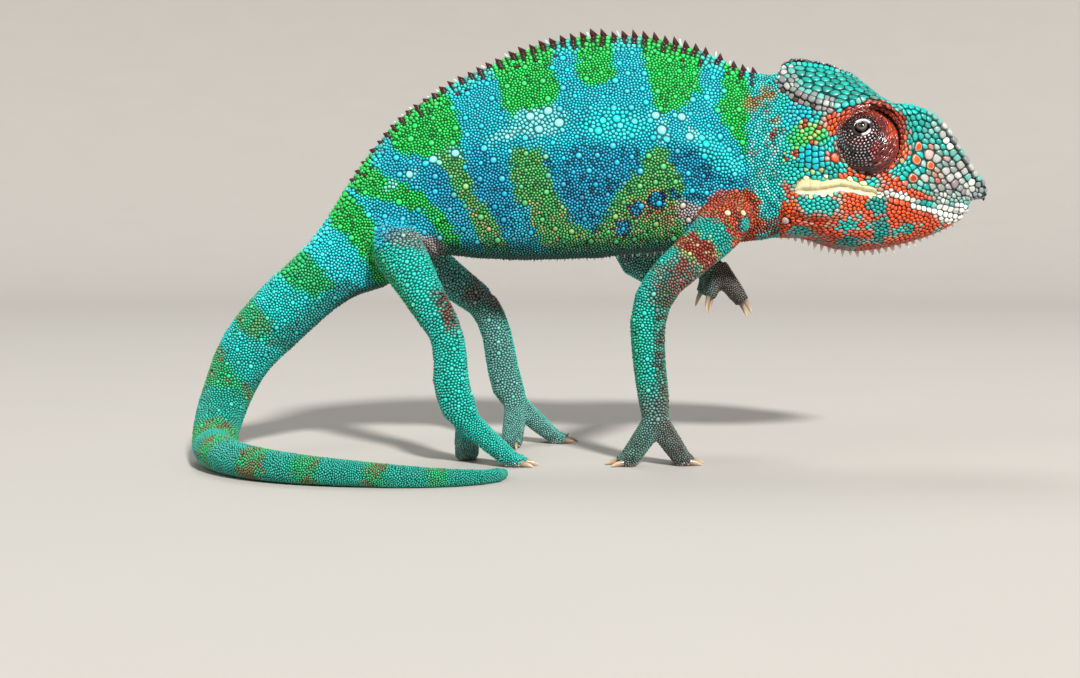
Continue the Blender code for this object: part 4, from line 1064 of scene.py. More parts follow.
# Single round scales that stand out: (x, z), radius, height, colour.
lonePlates = {
    "snout": (((81.3, 73.0), 1.15, 0.55, "orange"), ((81.9, 76.2), 0.9, 0.5, "red"),
              ((84.6, 74.4), 1.2, 0.6, "fleshPink"), ((84.9, 71.6), 0.9, 0.5, "red"),
              ((80.4, 68.5), 1.05, 0.5, "brick"), ((83.5, 68.6), 0.95, 0.5, "chalk"),
              ((77.6, 72.7), 0.62, 0.4, "tan"), ((60.9, 73.3), 1.15, 0.34, "red"),
              ((86.6, 73.4), 1.05, 0.55, "chalk"), ((87.8, 66.4), 0.9, 0.45, "ash")),
    "noseTip": (((97.9, 67.4), 0.8, 0.6, "grey"), ((96.4, 66.2), 0.8, 0.55, "chalk"),
                ((98.8, 66.0), 0.7, 0.5, "grey"), ((94.9, 65.2), 0.75, 0.5, "chalk"),
                ((97.2, 64.9), 0.65, 0.5, "ash")),
    "throat": (((49.8, 58.4), 0.9, 0.5, "fleshPink"),),
    "shoulder": (((34.6, 59.8), 0.85, 0.6, "cream"), ((38.6, 59.9), 0.85, 0.6, "cream")),
    "flank": (((-8.0, 84.6), 1.2, 0.6, "paleMint"), ((-12.4, 83.2), 1.15, 0.6, "paleMint"),
              ((-5.4, 81.6), 1.3, 0.65, "paleMint"), ((-10.2, 80.0), 1.1, 0.6, "paleMint"),
              ((19.2, 79.9), 1.35, 0.65, "paleMint"), ((24.1, 83.1), 1.15, 0.6, "paleMint"),
              ((17.8, 83.4), 1.15, 0.6, "paleMint"), ((25.9, 78.3), 1.2, 0.6, "paleMint"),
              ((-30.4, 74.4), 1.1, 0.6, "paleMint"), ((-35.8, 73.0), 1.1, 0.6, "paleMint"),
              ((8.4, 82.6), 1.1, 0.55, "brightCyan"), ((4.0, 79.6), 1.1, 0.55, "brightCyan"),
              ((-41.6, 69.4), 1.0, 0.5, "paleMint"), ((30.0, 76.6), 1.0, 0.5, "brightCyan")),
}
# Columns of tall scales under the spines of the back: how far down and out each row stands, and how
# many of the columns under a tall spine are brown there.
backColumns = ((0.35, 0.75, 1.0), (1.0, 1.75, 0.85), (1.9, 2.75, 0.55), (3.1, 3.6, 0.25))
rowStep = 0.1  # how finely a row's line is walked


def setScales():  # the scales placed one by one from the lists, on both sides
    found = []  # place, radius, stretch, height, colour, way

    def add(place, radius, stretch, height, colour, way):
        if place is not None and all(
                np.linalg.norm(place - f[0]) > 0.72 * (radius + f[1]) for f in found[-260:]):
            found.append((place, radius, stretch, height, colour, way))

    def tone(names, k):
        if not names:
            return (-1, -1, -1)
        return linear(*paints[names[(k + int(rng.random() * 2)) % len(names)]])

    for outward in (-1, 1):
        for (x, z), radius, height, colour in itertools.chain(*lonePlates.values()):
            add(fromSide(x, z, outward), radius, 1.0, height, linear(*paints[colour]), (1, 0, 0))
        for line, lift, radius, stretch, height, names, vary in scaleRows.values():
            line = np.array(line, float)
            normal = unit(np.gradient(line, axis=0)[:, ::-1] * (-1, 1))
            normal *= np.sign(normal[:, 1:2] + 0.3)
            path, _ = resampled(line + normal * lift, rowStep)
            steps = unit(np.gradient(path, axis=0))
            at, k = 0.0, 0
            while at < len(path) * rowStep:
                size = radius * (1 + vary * (2 * rng.random() - 1))
                spot = min(int((at + size * stretch) / rowStep), len(path) - 1)
                side = vary * 0.5 * size * (2 * rng.random() - 1)
                x, z = path[spot] + side * steps[spot][::-1] * (-1, 1)
                high = height * (1 + 0.5 * vary * (2 * rng.random() - 1))
                add(fromSide(x, z, outward), size, stretch, high, tone(names, k),
                    (steps[spot][0], 0, steps[spot][1]))
                at += 2 * size * stretch
                k += 1
        path, _ = resampled(backLine[backLine[:, 0] < 42.5], spines["crest"]["step"])
        for row, (down, out, brownShare) in enumerate(backColumns):
            for k, middle in enumerate(path):
                step = path[min(k + 1, len(path) - 1)] - path[max(k - 1, 0)]
                up = unit(np.array((-step[2], 0, step[0])))
                up *= np.sign(up[2])
                middle = middle + (rng.random() - 0.5) * 0.10 * row * step
                beside = (0, outward * out * (0.92 + 0.16 * rng.random()), 0)
                place, normal, _ = onSkin((middle - up * down + beside)[None])
                brown = crestKinds[k] == "tall" and rng.random() < brownShare
                size = (0.46 if brown else 0.50) * (0.82 + 0.3 * rng.random())
                colour = linear(*paints["spineBrown"]) if brown else (-1, -1, -1)
                add(place[0], size, 1.35, 0.34 if brown else 0.42, colour, tuple(np.cross(step, normal[0])))
    for x in np.arange(50.5, 83, 1.35):  # beads along the middle of the casque
        for y in (0.0, -1.2, 1.2):
            hit = skinTree.ray_cast(Vector((x + 0.6 * (y != 0), y, 125)), Vector((0, 0, -1)))[0]
            if hit:
                add(np.array(hit), (0.72 if y == 0 else 0.62) * (0.8 + 0.35 * rng.random()), 1.15, 0.42,
                    tone(("ash", "chalk", "mistTeal") if y == 0 else ("mistTeal", "turquoise"), 0), (1, 0, 0))
    return (np.array(v, float) for v in zip(*found))


def stripeEdges(x):
    mouth = heightOn(headLines["mouth"], x)
    return mouth + heightOn(lipStripe["above"], x), mouth - heightOn(lipStripe["below"], x)


def makeLipStripe(side):
    outward = -1 if side == "right" else 1
    xs = np.arange(lipStripe["from"], lipStripe["to"], 0.2)
    mouth = heightOn(headLines["mouth"], xs)
    top, low = stripeEdges(xs)
    points, faces, tints, maps, start = [], [], [], [], 0
    ends = np.sqrt(np.clip((xs - xs[0]) / 1.6, 0, 1) * np.clip((xs[-1] - xs) / 2.2, 0, 1))
    count = lipStripe["across"]
    for band, (one, other) in enumerate(((mouth + 0.10, top), (mouth - 0.10, low))):
        across = np.linspace(0, 1, count)
        bulge = np.clip(1 - np.abs(2 * across - 1) ** 3.0, 0, 1) ** 0.6
        seam = np.cos((xs + band * 1.4 + 0.3 * noise(np.stack([xs, xs * 0, mouth], 1), 5, 51)) * 2 * math.pi
                      / lipStripe["plate"])
        dip = 1 - 0.34 * ease(seam, 0.90, 1.0)
        ragged = 0.30 * noise(np.stack([xs, xs * 0 + band * 9, mouth * 0], 1), 1.6, 52)
        for k, x in enumerate(xs):
            for v, b in zip(across, bulge):
                wide = ends[k] * 0.75 + 0.25
                z = one[k] + (other[k] + ragged[k] * v - one[k]) * v * wide
                place = fromSide(x, z, outward)
                if place is None:
                    place = onSkin(np.array([[x, outward * 10, z]]))[0][0]
                points.append(place + np.array((0, outward, 0)) * (
                    -0.14 + lipStripe["height"] * b * dip[k] * (0.35 + 0.65 * ends[k])))
                # painted shade: darker toward the band's edges, where it curves in at the mouth line and the
                # skin, and in the dips between its plates
                shade = (0.45 + 0.55 * b) * (0.62 + 0.38 * dip[k])
                edge = v if band == 0 else 0.35 * v
                tone = linear(*lipStripe["middle"]) * (1 - 0.8 * edge)
                tints.append((tone + linear(*lipStripe["edge"]) * 0.8 * edge) * shade)
                maps.append((0.1 + 0.8 * (x - xs[0]) / np.ptp(xs), 0.3 + 0.2 * band + 0.15 * v))
        i, j = np.meshgrid(np.arange(len(xs) - 1), np.arange(count - 1), indexing="ij")
        here = start + i * count + j
        faces.append(np.stack([here, here + count, here + count + 1, here + 1], -1).reshape(-1, 4))
        start += len(xs) * count
    stripe = newObject(f"lipStripe_{side}", np.array(points), [np.concatenate(faces)],
                       np.clip(np.array(tints), 0, 1), np.array(maps), material=stripeMaterial)
    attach(stripe, "root")


def scatter():
    # candidates over the skin, thinned until no two scales crowd each other
    tris = np.concatenate([skinQuads[:, (0, 1, 2)], skinQuads[:, (0, 2, 3)]])
    a, b, c = (skinPoints[tris[:, k]] for k in range(3))
    area = sizesOf(np.cross(b - a, c - a)) / 2
    pitch, stretch, _, _ = coatAt(skinPoints, skinLabels, skinNormals)
    cell = rowRatio * pitch ** 2 * stretch
    weight = area / cell[tris[:, 0]]
    count = int(weight.sum() * coatLook["candidates"])
    pick = np.searchsorted(np.cumsum(weight) / weight.sum(), rng.random(count))
    pick = np.minimum(pick, len(tris) - 1)
    u, v = rng.random(count), rng.random(count)
    u, v = np.where(u + v > 1, 1 - u, u), np.where(u + v > 1, 1 - v, v)
    points = a[pick] + (b - a)[pick] * u[:, None] + (c - a)[pick] * v[:, None]
    radius = np.sqrt(cell / rowRatio)[tris[pick, 0]] / 2
    labels = skinLabels[tris[pick, 0]]
    # none under the turrets, the crest and the lip stripe
    hidden = (turretGap(points) < 8.0) & named(labels, "head") & (np.abs(points[:, 1]) < 12.5)
    onBack = np.flatnonzero((np.abs(points[:, 1]) < 1.2) & named(labels, "trunk", "neck", "tail_1"))
    hidden[onBack] |= sizesOf(onLine(points[onBack], backLine)[1]) < 0.95
    x, y, z = points.T
    stripeTop, stripeLow = stripeEdges(x)
    onStripe = (x > lipStripe["from"] - 0.4) & (x < lipStripe["to"] + 0.3) & (np.abs(y) > 4)
    onStripe &= (z < stripeTop + 0.25) & (z > stripeLow - 0.2)
    hidden |= named(labels, "head", "lower_jaw") & onStripe
    points, radius, labels = points[~hidden], radius[~hidden], labels[~hidden]

    byHand = tuple(setScales())
    setPlaces, setRadii, setStretches = byHand[:3]
    flank = named(labels, "trunk") & (points[:, 2] > 53)
    limb = named(labels, "upper_arm", "forearm", "thigh", "shank", "tail_1", "tail_2", "tail_3")
    order = rng.permutation(len(points))
    tree = treeOf(points)
    gone = bytearray(len(points))
    radii = radius.tolist()
    kept, keptRadii = [], []
    for place, r in zip(setPlaces.tolist(), (setRadii * np.sqrt(setStretches)).tolist()):
        for _, k, gap in tree.find_range(place, (r + 0.9) * 0.95):
            if gap < 0.92 * (r + radii[k]):
                gone[k] = 1
    big = []
    for group, gapBetween, r in ((flank, coatLook["tubercleGap"], coatLook["tubercleRadius"]),
                                 (limb, coatLook["limbTubercleGap"], coatLook["limbTubercleRadius"])):
        crowded = bytearray(len(points))
        for k in order[group[order]].tolist():
            if gone[k] or crowded[k]:
                continue
            size = r * (0.70 + 0.55 * hashed(np.array((k, 3, 5)), 1))
            big.append(k)
            kept.append(k)
            keptRadii.append(size)
            gone[k] = 1
            for _, j, gap in tree.find_range(points[k], gapBetween):
                crowded[j] = 1
                if gap < 0.88 * (size + radii[j]):
                    gone[j] = 1
    for k in order.tolist():
        if gone[k]:
            continue
        kept.append(k)
        keptRadii.append(radii[k])
        for _, j, gap in tree.find_range(points[k], 1.56 * radii[k]):
            gone[j] = 1
    isBig = np.zeros(len(kept), bool)
    isBig[:len(big)] = True
    print("scattered", len(kept), "scales,", len(big), "tubercles,", len(setPlaces), "set by hand")
    return points[kept], np.array(keptRadii), isBig, byHand


def neighboursOf(points, count):
    tree = treeOf(points)
    return np.array([[f[1] for f in tree.find_n(p, count + 1)][1:] for p in points.tolist()])


def squeezed(offset, axis, stretch):  # offsets with the stretched direction drawn in
    along = (offset * axis[:, None]).sum(2, keepdims=True)
    return offset - along * axis[:, None] * (1 - 1 / stretch)[:, None, None]


def rowPull(points, labels):  # towards evenly spaced rows across the tail and limbs
    pull = np.zeros_like(points)
    tail = np.flatnonzero(named(labels, "tail"))
    along, _, way = onLine(points[tail], tailLine)
    first, last = coatLook["tail"]
    slope = (first - last) * rowRatio / coatLook["tailReach"]
    first *= rowRatio
    rows = np.round(-np.log(1 - np.clip(along * slope / first, 0, 0.9)) / slope)
    pull[tail] = way * (first * (1 - np.exp(-slope * rows)) / slope - along)[:, None] * 0.5
    for parts, line in limbs.values():
        at = np.flatnonzero(named(labels, *parts[:2]))
        along, _, way = onLine(points[at], line)
        row = (coatLook["upperLimb"] + coatLook["lowerLimb"]) / 2 * rowRatio
        reach = sizesOf(np.diff(line, axis=0)).sum()
        inside = ease(reach - along, 1.0, 4.0) * 0.6
        pull[at] = way * ((np.round(along / row) * row - along) * inside)[:, None]
    return pull


def settled(points, radii, held, rounds):
    # scales push apart, line up in rows and slide back on to the skin
    for step in range(rounds):
        if step % 4 == 0:
            points, normals, labels = onSkin(points)
            _, stretch, axis, _ = coatAt(points, labels, normals)
            stretch = np.where(held["on"], held["stretch"], stretch)
            axis = np.where(held["on"][:, None], held["axis"], axis)
            axis = unit(alongSkin(axis, normals))
            near = neighboursOf(points, 10)
        offset = points[:, None] - points[near]
        gap = np.linalg.norm(squeezed(offset, axis, stretch), axis=2)
        want = radii[:, None] + radii[near]
        push = np.clip(1.06 * want - gap, 0, None)
        move = (unit(offset) * push[..., None]).sum(1) * 0.30
        if rounds - 6 < step < rounds - 3:
            move += rowPull(points, labels)
        move = alongSkin(move, normals)
        size = np.linalg.norm(move, axis=1, keepdims=True)
        move *= np.minimum(1, 0.35 * radii[:, None] / np.maximum(size, 1e-9))
        points = np.where(held["on"][:, None], points, points + move)
    return onSkin(points)


def outlines(points, normals, axis, stretch, radii, corners, joint=0.06, square=7.0, near=None, rows=None,
             limit=1.42):
    # how far each scale reaches in each direction before it meets its neighbours
    near = neighboursOf(points, 12) if near is None else near
    if rows is not None:
        near, allPoints, allRadii = near[rows], points, radii
        points, normals, axis, stretch, radii = (v[rows] for v in (points, normals, axis, stretch, radii))
    else:
        allPoints, allRadii = points, radii
    across = np.cross(normals, axis)
    offset = squeezed(allPoints[near] - points[:, None], axis, stretch)
    u, v = (offset * axis[:, None]).sum(2), (offset * across[:, None]).sum(2)
    gap = np.maximum(np.linalg.norm(offset, axis=2), 0.05)
    border = (gap ** 2 + radii[:, None] ** 2 - allRadii[near] ** 2) / (2 * gap)
    border = np.clip(border, 0.35 * radii[:, None], None)
    turn = turnsOf(corners)
    total = np.zeros((len(points), corners))
    for k in range(near.shape[1]):
        facing = np.cos(turn - np.arctan2(v[:, k], u[:, k])[:, None])
        total += (np.clip(facing, 0, None) / border[:, k:k + 1]) ** square
    reach = 1 / np.maximum(total, 1e-12) ** (1 / square)
    reach = np.minimum(reach, limit * radii[:, None]) - joint
    spoke = (axis[:, None] * (np.cos(turn)[None, :] * stretch[:, None])[..., None]
             + across[:, None] * np.sin(turn)[None, :, None])
    return reach, spoke


# Profile of a scale from rim to top: share of its reach, share of its height, and a factor on its colour that
# darkens the rim as painted shade between the scales.
grainProfile = ((1.0, -0.30, 0.07), (0.82, 0.52, 0.64))
granuleProfile = ((1.0, -0.32, 0.07), (0.92, 0.34, 0.56), (0.64, 0.84, 1.0))
plateProfile = ((1.0, -0.35, 0.07), (0.95, 0.44, 0.50), (0.80, 0.88, 0.98))
beadProfile = plateProfile + ((0.55, 0.97, 1.0),)
patchRadius = 0.0015  # of a scale on the map for baking
# How scales are cut: corners and profile of bold and fine ones, the joint between them, how squarely
# they meet and how far they may reach.
scaleCuts = {
    "head": {"corners": (14, 10), "profiles": (beadProfile, plateProfile), "joint": 0.026, "square": 8.0,
             "limit": 1.75},
    "body": {"corners": (12, 8), "profiles": (granuleProfile, grainProfile), "joint": 0.024, "square": 6.5,
             "limit": 1.42},
}


# Painted light on every scale: the profile's shades darken it toward the rim as shade, and top brightens its
# tip as a painted highlight.
def scaleMesh(points, normals, reach, spoke, height, colours, profile, top=1.08, rims=None):
    corners = reach.shape[1]
    rings, shades = [], []
    for share, lift, shade in profile:
        raised = normals[:, None] * (height * lift)[:, None, None]
        rings.append(points[:, None] + spoke * (reach * share)[..., None] + raised)
        tone = colours if rims is None or share < 0.6 else rims
        shades.append(np.repeat(tone[:, None] * shade, corners, axis=1))
    rings.append((points + normals * height[:, None])[:, None])
    shades.append(np.clip(colours[:, None] * top, 0, 1))
    made = np.concatenate(rings, 1)
    tint = np.concatenate(shades, 1)
    start = (np.arange(len(points)) * made.shape[1])[:, None, None]
    tris = (start + pointedTris(len(profile), corners)).reshape(-1, 3)
    # each scale's patch on the map: its own small outline about its root
    turn = turnsOf(corners)
    local = [np.stack([np.cos(turn), np.sin(turn)], 1) * (patchRadius * share) for share, _, _ in profile]
    local = np.concatenate(local + [np.zeros((1, 2))])
    return made.reshape(-1, 3), tint.reshape(-1, 3), tris, local


def unwrapped(points, line):  # along and round a line, as a flat map from 0 to 1
    along, offset, way = onLine(points, line)
    side = unit(np.cross(way, (0.02, 0.03, 1.0)))
    up = np.cross(side, way)
    angle = np.arctan2((offset * side).sum(1), (offset * up).sum(1)) / (2 * math.pi) + 0.5
    spread = (along - along.min()) / max(np.ptp(along), 1e-6)
    beyond = (offset * way).sum(1)
    spread = np.clip(spread + beyond / max(np.ptp(along), 1e-6), -0.2, 1.2)
    spread = (spread - spread.min()) / max(np.ptp(spread), 1e-6)
    return 0.01 + 0.98 * np.stack([spread, angle], 1)


trunkLine = resampled(((-58, 0, 50), (-45, 0, 64), (-20, 0, 74), (10, 0, 77), (50, 0, 74)), 4.0)[0]
headLine = np.array(((44, 0, 74), (76, 0, 72), (100, 0, 66.0)))
# Coat pieces: the flesh nodes that each covers and the line that it is unwrapped about.
coatPieces = {
    "coat_head": (("head", "lower_jaw"), headLine, "casque_skin"),
    "coat_neck": (("neck",), trunkLine, "turquoise_skin"),
    "coat_trunk": (("trunk",), trunkLine, "cyan_skin"),
    "coat_tail": (("tail",), tailLine, "teal_skin"),
}
for upper, side in itertools.product(("upper_arm", "thigh"), ("right", "left")):
    parts, line = limbs[upper, side]
    coatPieces[f"coat_{parts[1]}"] = parts, line, "turquoise_skin"
coatMaterial = markedMaterial("scaledSkin", rough=(0.26, 0.42))
faceMaterial = markedMaterial("headPlates", rough=(0.24, 0.40))


def coatColours(points, labels, normals, big):
    draw = rng.random((len(points), 3))
    shift = rng.normal(size=(len(points), 3)) * 0.42
    colours = marksAt(points + alongSkin(shift, normals), labels, normals)
    colours *= (0.72 + 0.50 * draw[:, :1])
    colours += (colours.mean(1, keepdims=True) - colours) * (0.14 * draw[:, 1:2] - 0.04)
    _, green, blue = colours.T
    onTrunk = named(labels, "trunk", "neck")
    inkShare = 0.18 * ease(points[:, 0], -36, 2)
    inky = onTrunk & (blue > green * 1.35) & (draw[:, 2] < inkShare) & ~big
    dim = onTrunk & (green > blue * 1.6) & (draw[:, 2] < 0.09) & ~big
    colours[inky] *= 0.30
    colours[dim] *= 0.35
    colours[big] = colours[big] * 1.12 + linear(110, 226, 200) * 0.04
    return np.clip(colours, 0.002, 1)


def makeCoat():
    loose, radii, big, (places, setRadii, setStretches, setHeights, setColours, setWays) = scatter()
    points = np.concatenate([places, loose])
    radii = np.concatenate([setRadii, radii])
    count = len(points)
    held = {"on": np.arange(count) < len(places), "stretch": np.ones(count), "axis": np.zeros((count, 3))}
    held["stretch"][:len(places)] = setStretches
    held["axis"][:len(places)] = setWays
    big = np.concatenate([np.zeros(len(places), bool), big])
    fine = ~(held["on"] | big)
    points, normals, labels = onSkin(points)
    pitch, stretch, axis, height = coatAt(points, labels, normals)
    radii = np.where(fine, pitch / 2 * 0.99, radii)
    rounds = "settleRounds"
    points, normals, labels = settled(points, radii, held, coatLook[rounds])
    pitch, stretch, axis, height = coatAt(points, labels, normals)
    stretch = np.where(held["on"], held["stretch"], np.where(big, 1.0, stretch))
    axis = np.where(held["on"][:, None], held["axis"], axis)
    axis = unit(alongSkin(axis, normals))
    height = np.where(fine, height * np.minimum(pitch, 1.1), 0.0) * (0.85 + 0.3 * rng.random(count))
    height = np.where(big, radii * 0.52, height)
    height[:len(places)] = setHeights
    colours = coatColours(points, labels, normals, big)
    given = held["on"] & (np.concatenate([setColours[:, 0], np.zeros(count - len(places))]) >= 0)
    colours[given] = setColours[given[:len(places)]] * (0.88 + 0.2 * rng.random((given.sum(), 1)))
    rims = colours.copy()  # red beads of the face have a pale rim
    ringed = held["on"] & (radii > 0.85) & (colours[:, 0] > colours[:, 1] * 4) & (points[:, 0] > 76)
    rims[ringed] = linear(206, 160, 132)
    print("coat settled")
    near = neighboursOf(points, 12)
    bold = held["on"] | big
    total = 0
    for name, (owners, line, slot) in coatPieces.items():
        onHead = name == "coat_head"
        cut = scaleCuts["head" if onHead else "body"]
        kinds = tuple(zip(cut["corners"], cut["profiles"], (True, False)))
        at = np.flatnonzero(named(labels, *owners))
        at = at[np.argsort(points[at, 0], kind="stable")]
        perScale = np.where(bold[at], *(corners * (2 * len(profile) - 1) for corners, profile, _ in kinds))
        parts = math.ceil(perScale.sum() / coatLook["mostTriangles"])
        sums = np.cumsum(perScale) * parts / perScale.sum()
        maps = unwrapped(points[at], line)
        for k in range(parts):
            part = np.flatnonzero((sums > k) & (sums <= k + 1 + 1e-9))
            made, tints, tris, patches, start = [], [], [], [], 0
            for corners, profile, isBold in kinds:
                some = part[bold[at[part]] == isBold]
                if len(some) == 0:
                    continue
                rows = at[some]
                reach, spoke = outlines(points, normals, axis, stretch, radii, corners, cut["joint"],
                                        cut["square"], near, rows, cut["limit"])
                # each scale's tip painted brighter as a highlight: 1.12 times on bold scales, 1.42 times on
                # fine ones
                scales, tint, faces, local = scaleMesh(
                    points[rows], normals[rows], reach, spoke, height[rows], colours[rows], profile,
                    1.12 if isBold else 1.42, rims[rows])
                made.append(scales)
                tints.append(tint)
                tris.append(faces + start)
                patches.append((maps[some][:, None] + local[None]).reshape(-1, 2))
                start += len(scales)
            piece = newObject(name if parts == 1 else f"{name}_{k + 1}", np.concatenate(made),
                              [np.concatenate(tris)], np.concatenate(tints), np.concatenate(patches),
                              material=faceMaterial if onHead else coatMaterial)
            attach(piece, "root")
            total += sum(len(t) for t in tris)
    print("coat made:", total, "triangles")


skinMaterial = markedMaterial("skinBetweenScales", grain=1800.0, bump=0.5, rough=(0.6, 0.8), shine=0.08)
# The skin between the scales: its marks darkened to a near-black navy, partly the skin's own darker colour and
# partly painted shade in the gaps; darkened less on the pale parts of the face.
softPlaces = named(skinLabels, "head", "lower_jaw") & (skinColours[:, 2] > 0.3) & (skinColours[:, 0] > 0.8)
skinTone = np.clip(skinColours * np.where(softPlaces, 0.6, 0.13)[:, None] + linear(0, 16, 30) * 0.5, 0, 1)
skin = newObject("skin", skinPoints, [skinQuads], skinTone, material=skinMaterial)
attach(skin, "root")
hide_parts(*fleshNames)
makeCoat()


coneSides = 10
coneRings = ((0, 1.0), (0.22, 0.92), (0.45, 0.70), (0.68, 0.44), (0.86, 0.22), (0.97, 0.08))  # share, size


def cone(base, tip, sideways, length, width):  # a pointed scale, flattened sideways
    way = tip - base
    along = unit(np.cross(sideways, way / np.linalg.norm(way)))
    points = []
    for share, size in coneRings:
        for a in turnsOf(coneSides):
            points.append(base + way * share + along * math.cos(a) * length * size
                          + sideways * math.sin(a) * width * size)
    return np.array([*points, tip])


def makeSpines():
    lines = {
        "crest": backLine,
        "throat": midLine(np.arange(50, 92.5, 0.8), False),
        "belly": midLine(np.arange(-34, 25, 0.8), False),
    }
    trunkLabel = int(np.flatnonzero(["trunk" in n for n in fleshNames])[0])
    for name, line in lines.items():
        look = spines[name]
        path, _ = resampled(line, look["step"])
        steps = unit(np.gradient(path, axis=0))
        sign = 1 if name == "crest" else -1
        cones, tints, roots = [], [], []
        for k, (place, step) in enumerate(zip(path, steps)):
            out = np.array((-step[2], 0, step[0]))
            out *= np.sign(out[2]) * sign
            height = heightOn(look["height"], place[0]) * (0.80 + 0.4 * rng.random())
            kind = crestKinds[k] if name == "crest" else "tall"
            height *= {"tall": 1.0, "pale": 0.85, "low": 0.42}[kind]
            lean = np.array((1.0 if step[0] > 0 else -1.0) * step) * look["lean"]
            tip = place + unit(out + lean) * height
            base = place - out * 0.9
            sideways = np.array((0, 1.0, 0))
            tip = tip + sideways * (rng.random() - 0.5) * 0.35 + step * (rng.random() - 0.5) * 0.3
            broad = {"tall": 1.0, "pale": 0.62, "low": 0.66}[kind] * (0.85 + 0.3 * rng.random())
            cones.append(cone(base, tip, sideways, look["length"] * broad,
                              look["width"] * min(1, 0.3 + broad * 0.7)))
            roots.append(place)
            root, end = (linear(*paints[c]) for c in look["paints"])
            share = np.repeat([share for share, _ in coneRings], coneSides)
            share = np.append(share, 1.0)[:, None]
            if name == "crest":
                under = marksAt(place[None], np.array([trunkLabel]), np.array([(0, 0, 1.0)]))[0]
                colour = {"tall": root, "pale": end, "low": under * 0.7 + root * 0.3}[kind]
                # darker at the root and lighter toward the tip, with a pale painted highlight at the tip,
                # stronger on the pale and low fins
                tint = colour * (0.35 + 0.8 * share) + linear(226, 214, 200) * (
                    0.06 if kind == "tall" else 0.30) * share ** 4
            else:
                tint = root * (1 - share) * 0.8 + end * share
            tints.append(tint)
        turn = np.tile(turnsOf(coneSides), len(coneRings))
        local = np.stack([np.cos(turn), np.sin(turn)], 1) * patchRadius * (1 - share[:-1])
        local = np.concatenate([local, np.zeros((1, 2))])
        starts = (np.arange(len(cones)) * len(share))[:, None, None]
        tris = (starts + pointedTris(len(coneRings), coneSides)).reshape(-1, 3)
        maps = unwrapped(np.array(roots), headLine if name == "throat" else trunkLine)
        piece = newObject(f"{name}Spines", np.concatenate(cones), [tris],
                          np.clip(np.concatenate(tints), 0, 1), (maps[:, None] + local).reshape(-1, 2),
                          material=spineMaterial)
        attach(piece, "root")
    print("spines made")


# The turrets: fused lids turned about the line of sight, with folds, fine scales and a pupil.
turretLook = {
    "ball": 7.60, "shift": (-0.70, 0, -0.65), "fold": 0.13, "foldStep": 0.86, "back": 2.05, "opening": 1.90,
    "lidTube": 0.36, "scale": 0.42, "fineScale": 0.33, "sides": 96,
}
# The eye between the lids: how deep and wide it is, where its rings start and end, and its colours.
eyeLook = {"depth": 1.22, "front": 1.23, "width": 1.34, "rings": (0.08, 2.6, 28), "pupil": (10, 10, 14),
           "iris": (128, 104, 108), "rim": (40, 28, 32)}
# Folds of skin round the foot of the turret: ring, thickness, where the head's side is felt for, depth.
socketFolds = {"outer": (8.35, 0.66, 9.3, 0.30), "inner": (7.72, 0.40, 8.9, 0.05)}
for facts in turret.values():  # the ball sits a little back and down in its socket
    eyeMiddle = sum((np.array(c) - origin) / mm for c in facts["eye"]) / 2
    facts["socket"] = facts["centre"]
    reach = np.linalg.norm(eyeMiddle - facts["centre"])
    facts["centre"] = facts["centre"] + turretLook["shift"]
    facts["gaze"] = unit(eyeMiddle - facts["centre"])
    facts["middle"] = facts["centre"] + facts["gaze"] * reach


def turretFrame(side):
    gaze = turret[side]["gaze"]
    right = unit(np.cross(gaze, (0, 0, 1.0)))
    return gaze, right, np.cross(right, gaze)


def turretCircle(side):  # the line of sight and the steps round it
    gaze, right, up = turretFrame(side)
    turn = turnsOf(turretLook["sides"])
    return gaze, right * np.cos(turn)[:, None] + up * np.sin(turn)[:, None]


def turretMarks(points, side, draw):
    rel = points - turret[side]["centre"]
    dx, dz = rel[:, 0], rel[:, 2]
    gaze = turretFrame(side)[0]
    tilt = np.arccos(np.clip(unit(rel) @ gaze, -1, 1))
    colours = np.tile(linear(*paints["eyeDark"]), (len(points), 1))
    paint(colours, flecks(points, 2.2, 49, 0.1, 0.5) * 0.35, "eyeRed")
    paint(colours, ease(ovalGap(rel[:, (0, 2)], (0.9, -2.0), (1.6, 2.4), 8), 1.2, 0.6) * 0.9, "eyeRed")
    front = ease(dx + 0.05 * dz * dz + 0.6 * noise(points, 1.6, 30), 2.0, 3.8)
    paint(colours, front, "eyeRed")
    folds = np.cos(tilt * turretLook["ball"] * 2 * math.pi / turretLook["foldStep"])
    paint(colours, front * ease(-folds, -0.2, 0.6) * 0.85, "eyeDark")
    # painted highlight: thin pale lines on some fold crests
    paint(colours, front * ease(folds, 0.5, 1.0) * ease(draw[:, 1], 0.65, 0.75) * 0.25, "lidGleam")
    glow = ease(ovalGap(rel[:, (0, 2)], (5.2, 2.2), (1.8, 2.6), 20), 1.2, 0.5)
    paint(colours, front * glow * 0.55, "red")
    paint(colours, ease(dz + 0.3 * dx, 6.0, 6.8) * 0.9, "brick")
    # painted highlight: a pale rim round the back and lower edge of the ball
    edge = ease(np.hypot(dx, dz), 7.0, 7.35) * (1 - front) * ease(dz, 4.5, 3.0)
    paint(colours, edge * 0.6, "lidGleam")
    # painted highlight: a pale ring round the lid opening
    paint(colours, ease(tilt, 0.34, 0.29) * 0.6, "lidGleam")
    return colours


def ringMesh(line, normals, radius, sides=12):  # a closed tube round a ring of places
    radius = np.broadcast_to(radius, len(line))[:, None, None]
    step = unit(np.roll(line, -1, 0) - np.roll(line, 1, 0))
    across = np.cross(step, normals)
    turn = turnsOf(sides)
    points = line[:, None] + radius * (normals[:, None] * np.cos(turn)[None, :, None]
                                       + across[:, None] * np.sin(turn)[None, :, None])
    count = len(line)
    i, j = np.meshgrid(np.arange(count), np.arange(sides), indexing="ij")
    here = i * sides + j
    after, beside = ((i + 1) % count) * sides + j, i * sides + (j + 1) % sides
    both = ((i + 1) % count) * sides + (j + 1) % sides
    quads = np.stack([here, beside, both, after], -1).reshape(-1, 4)
    return points.reshape(-1, 3), quads


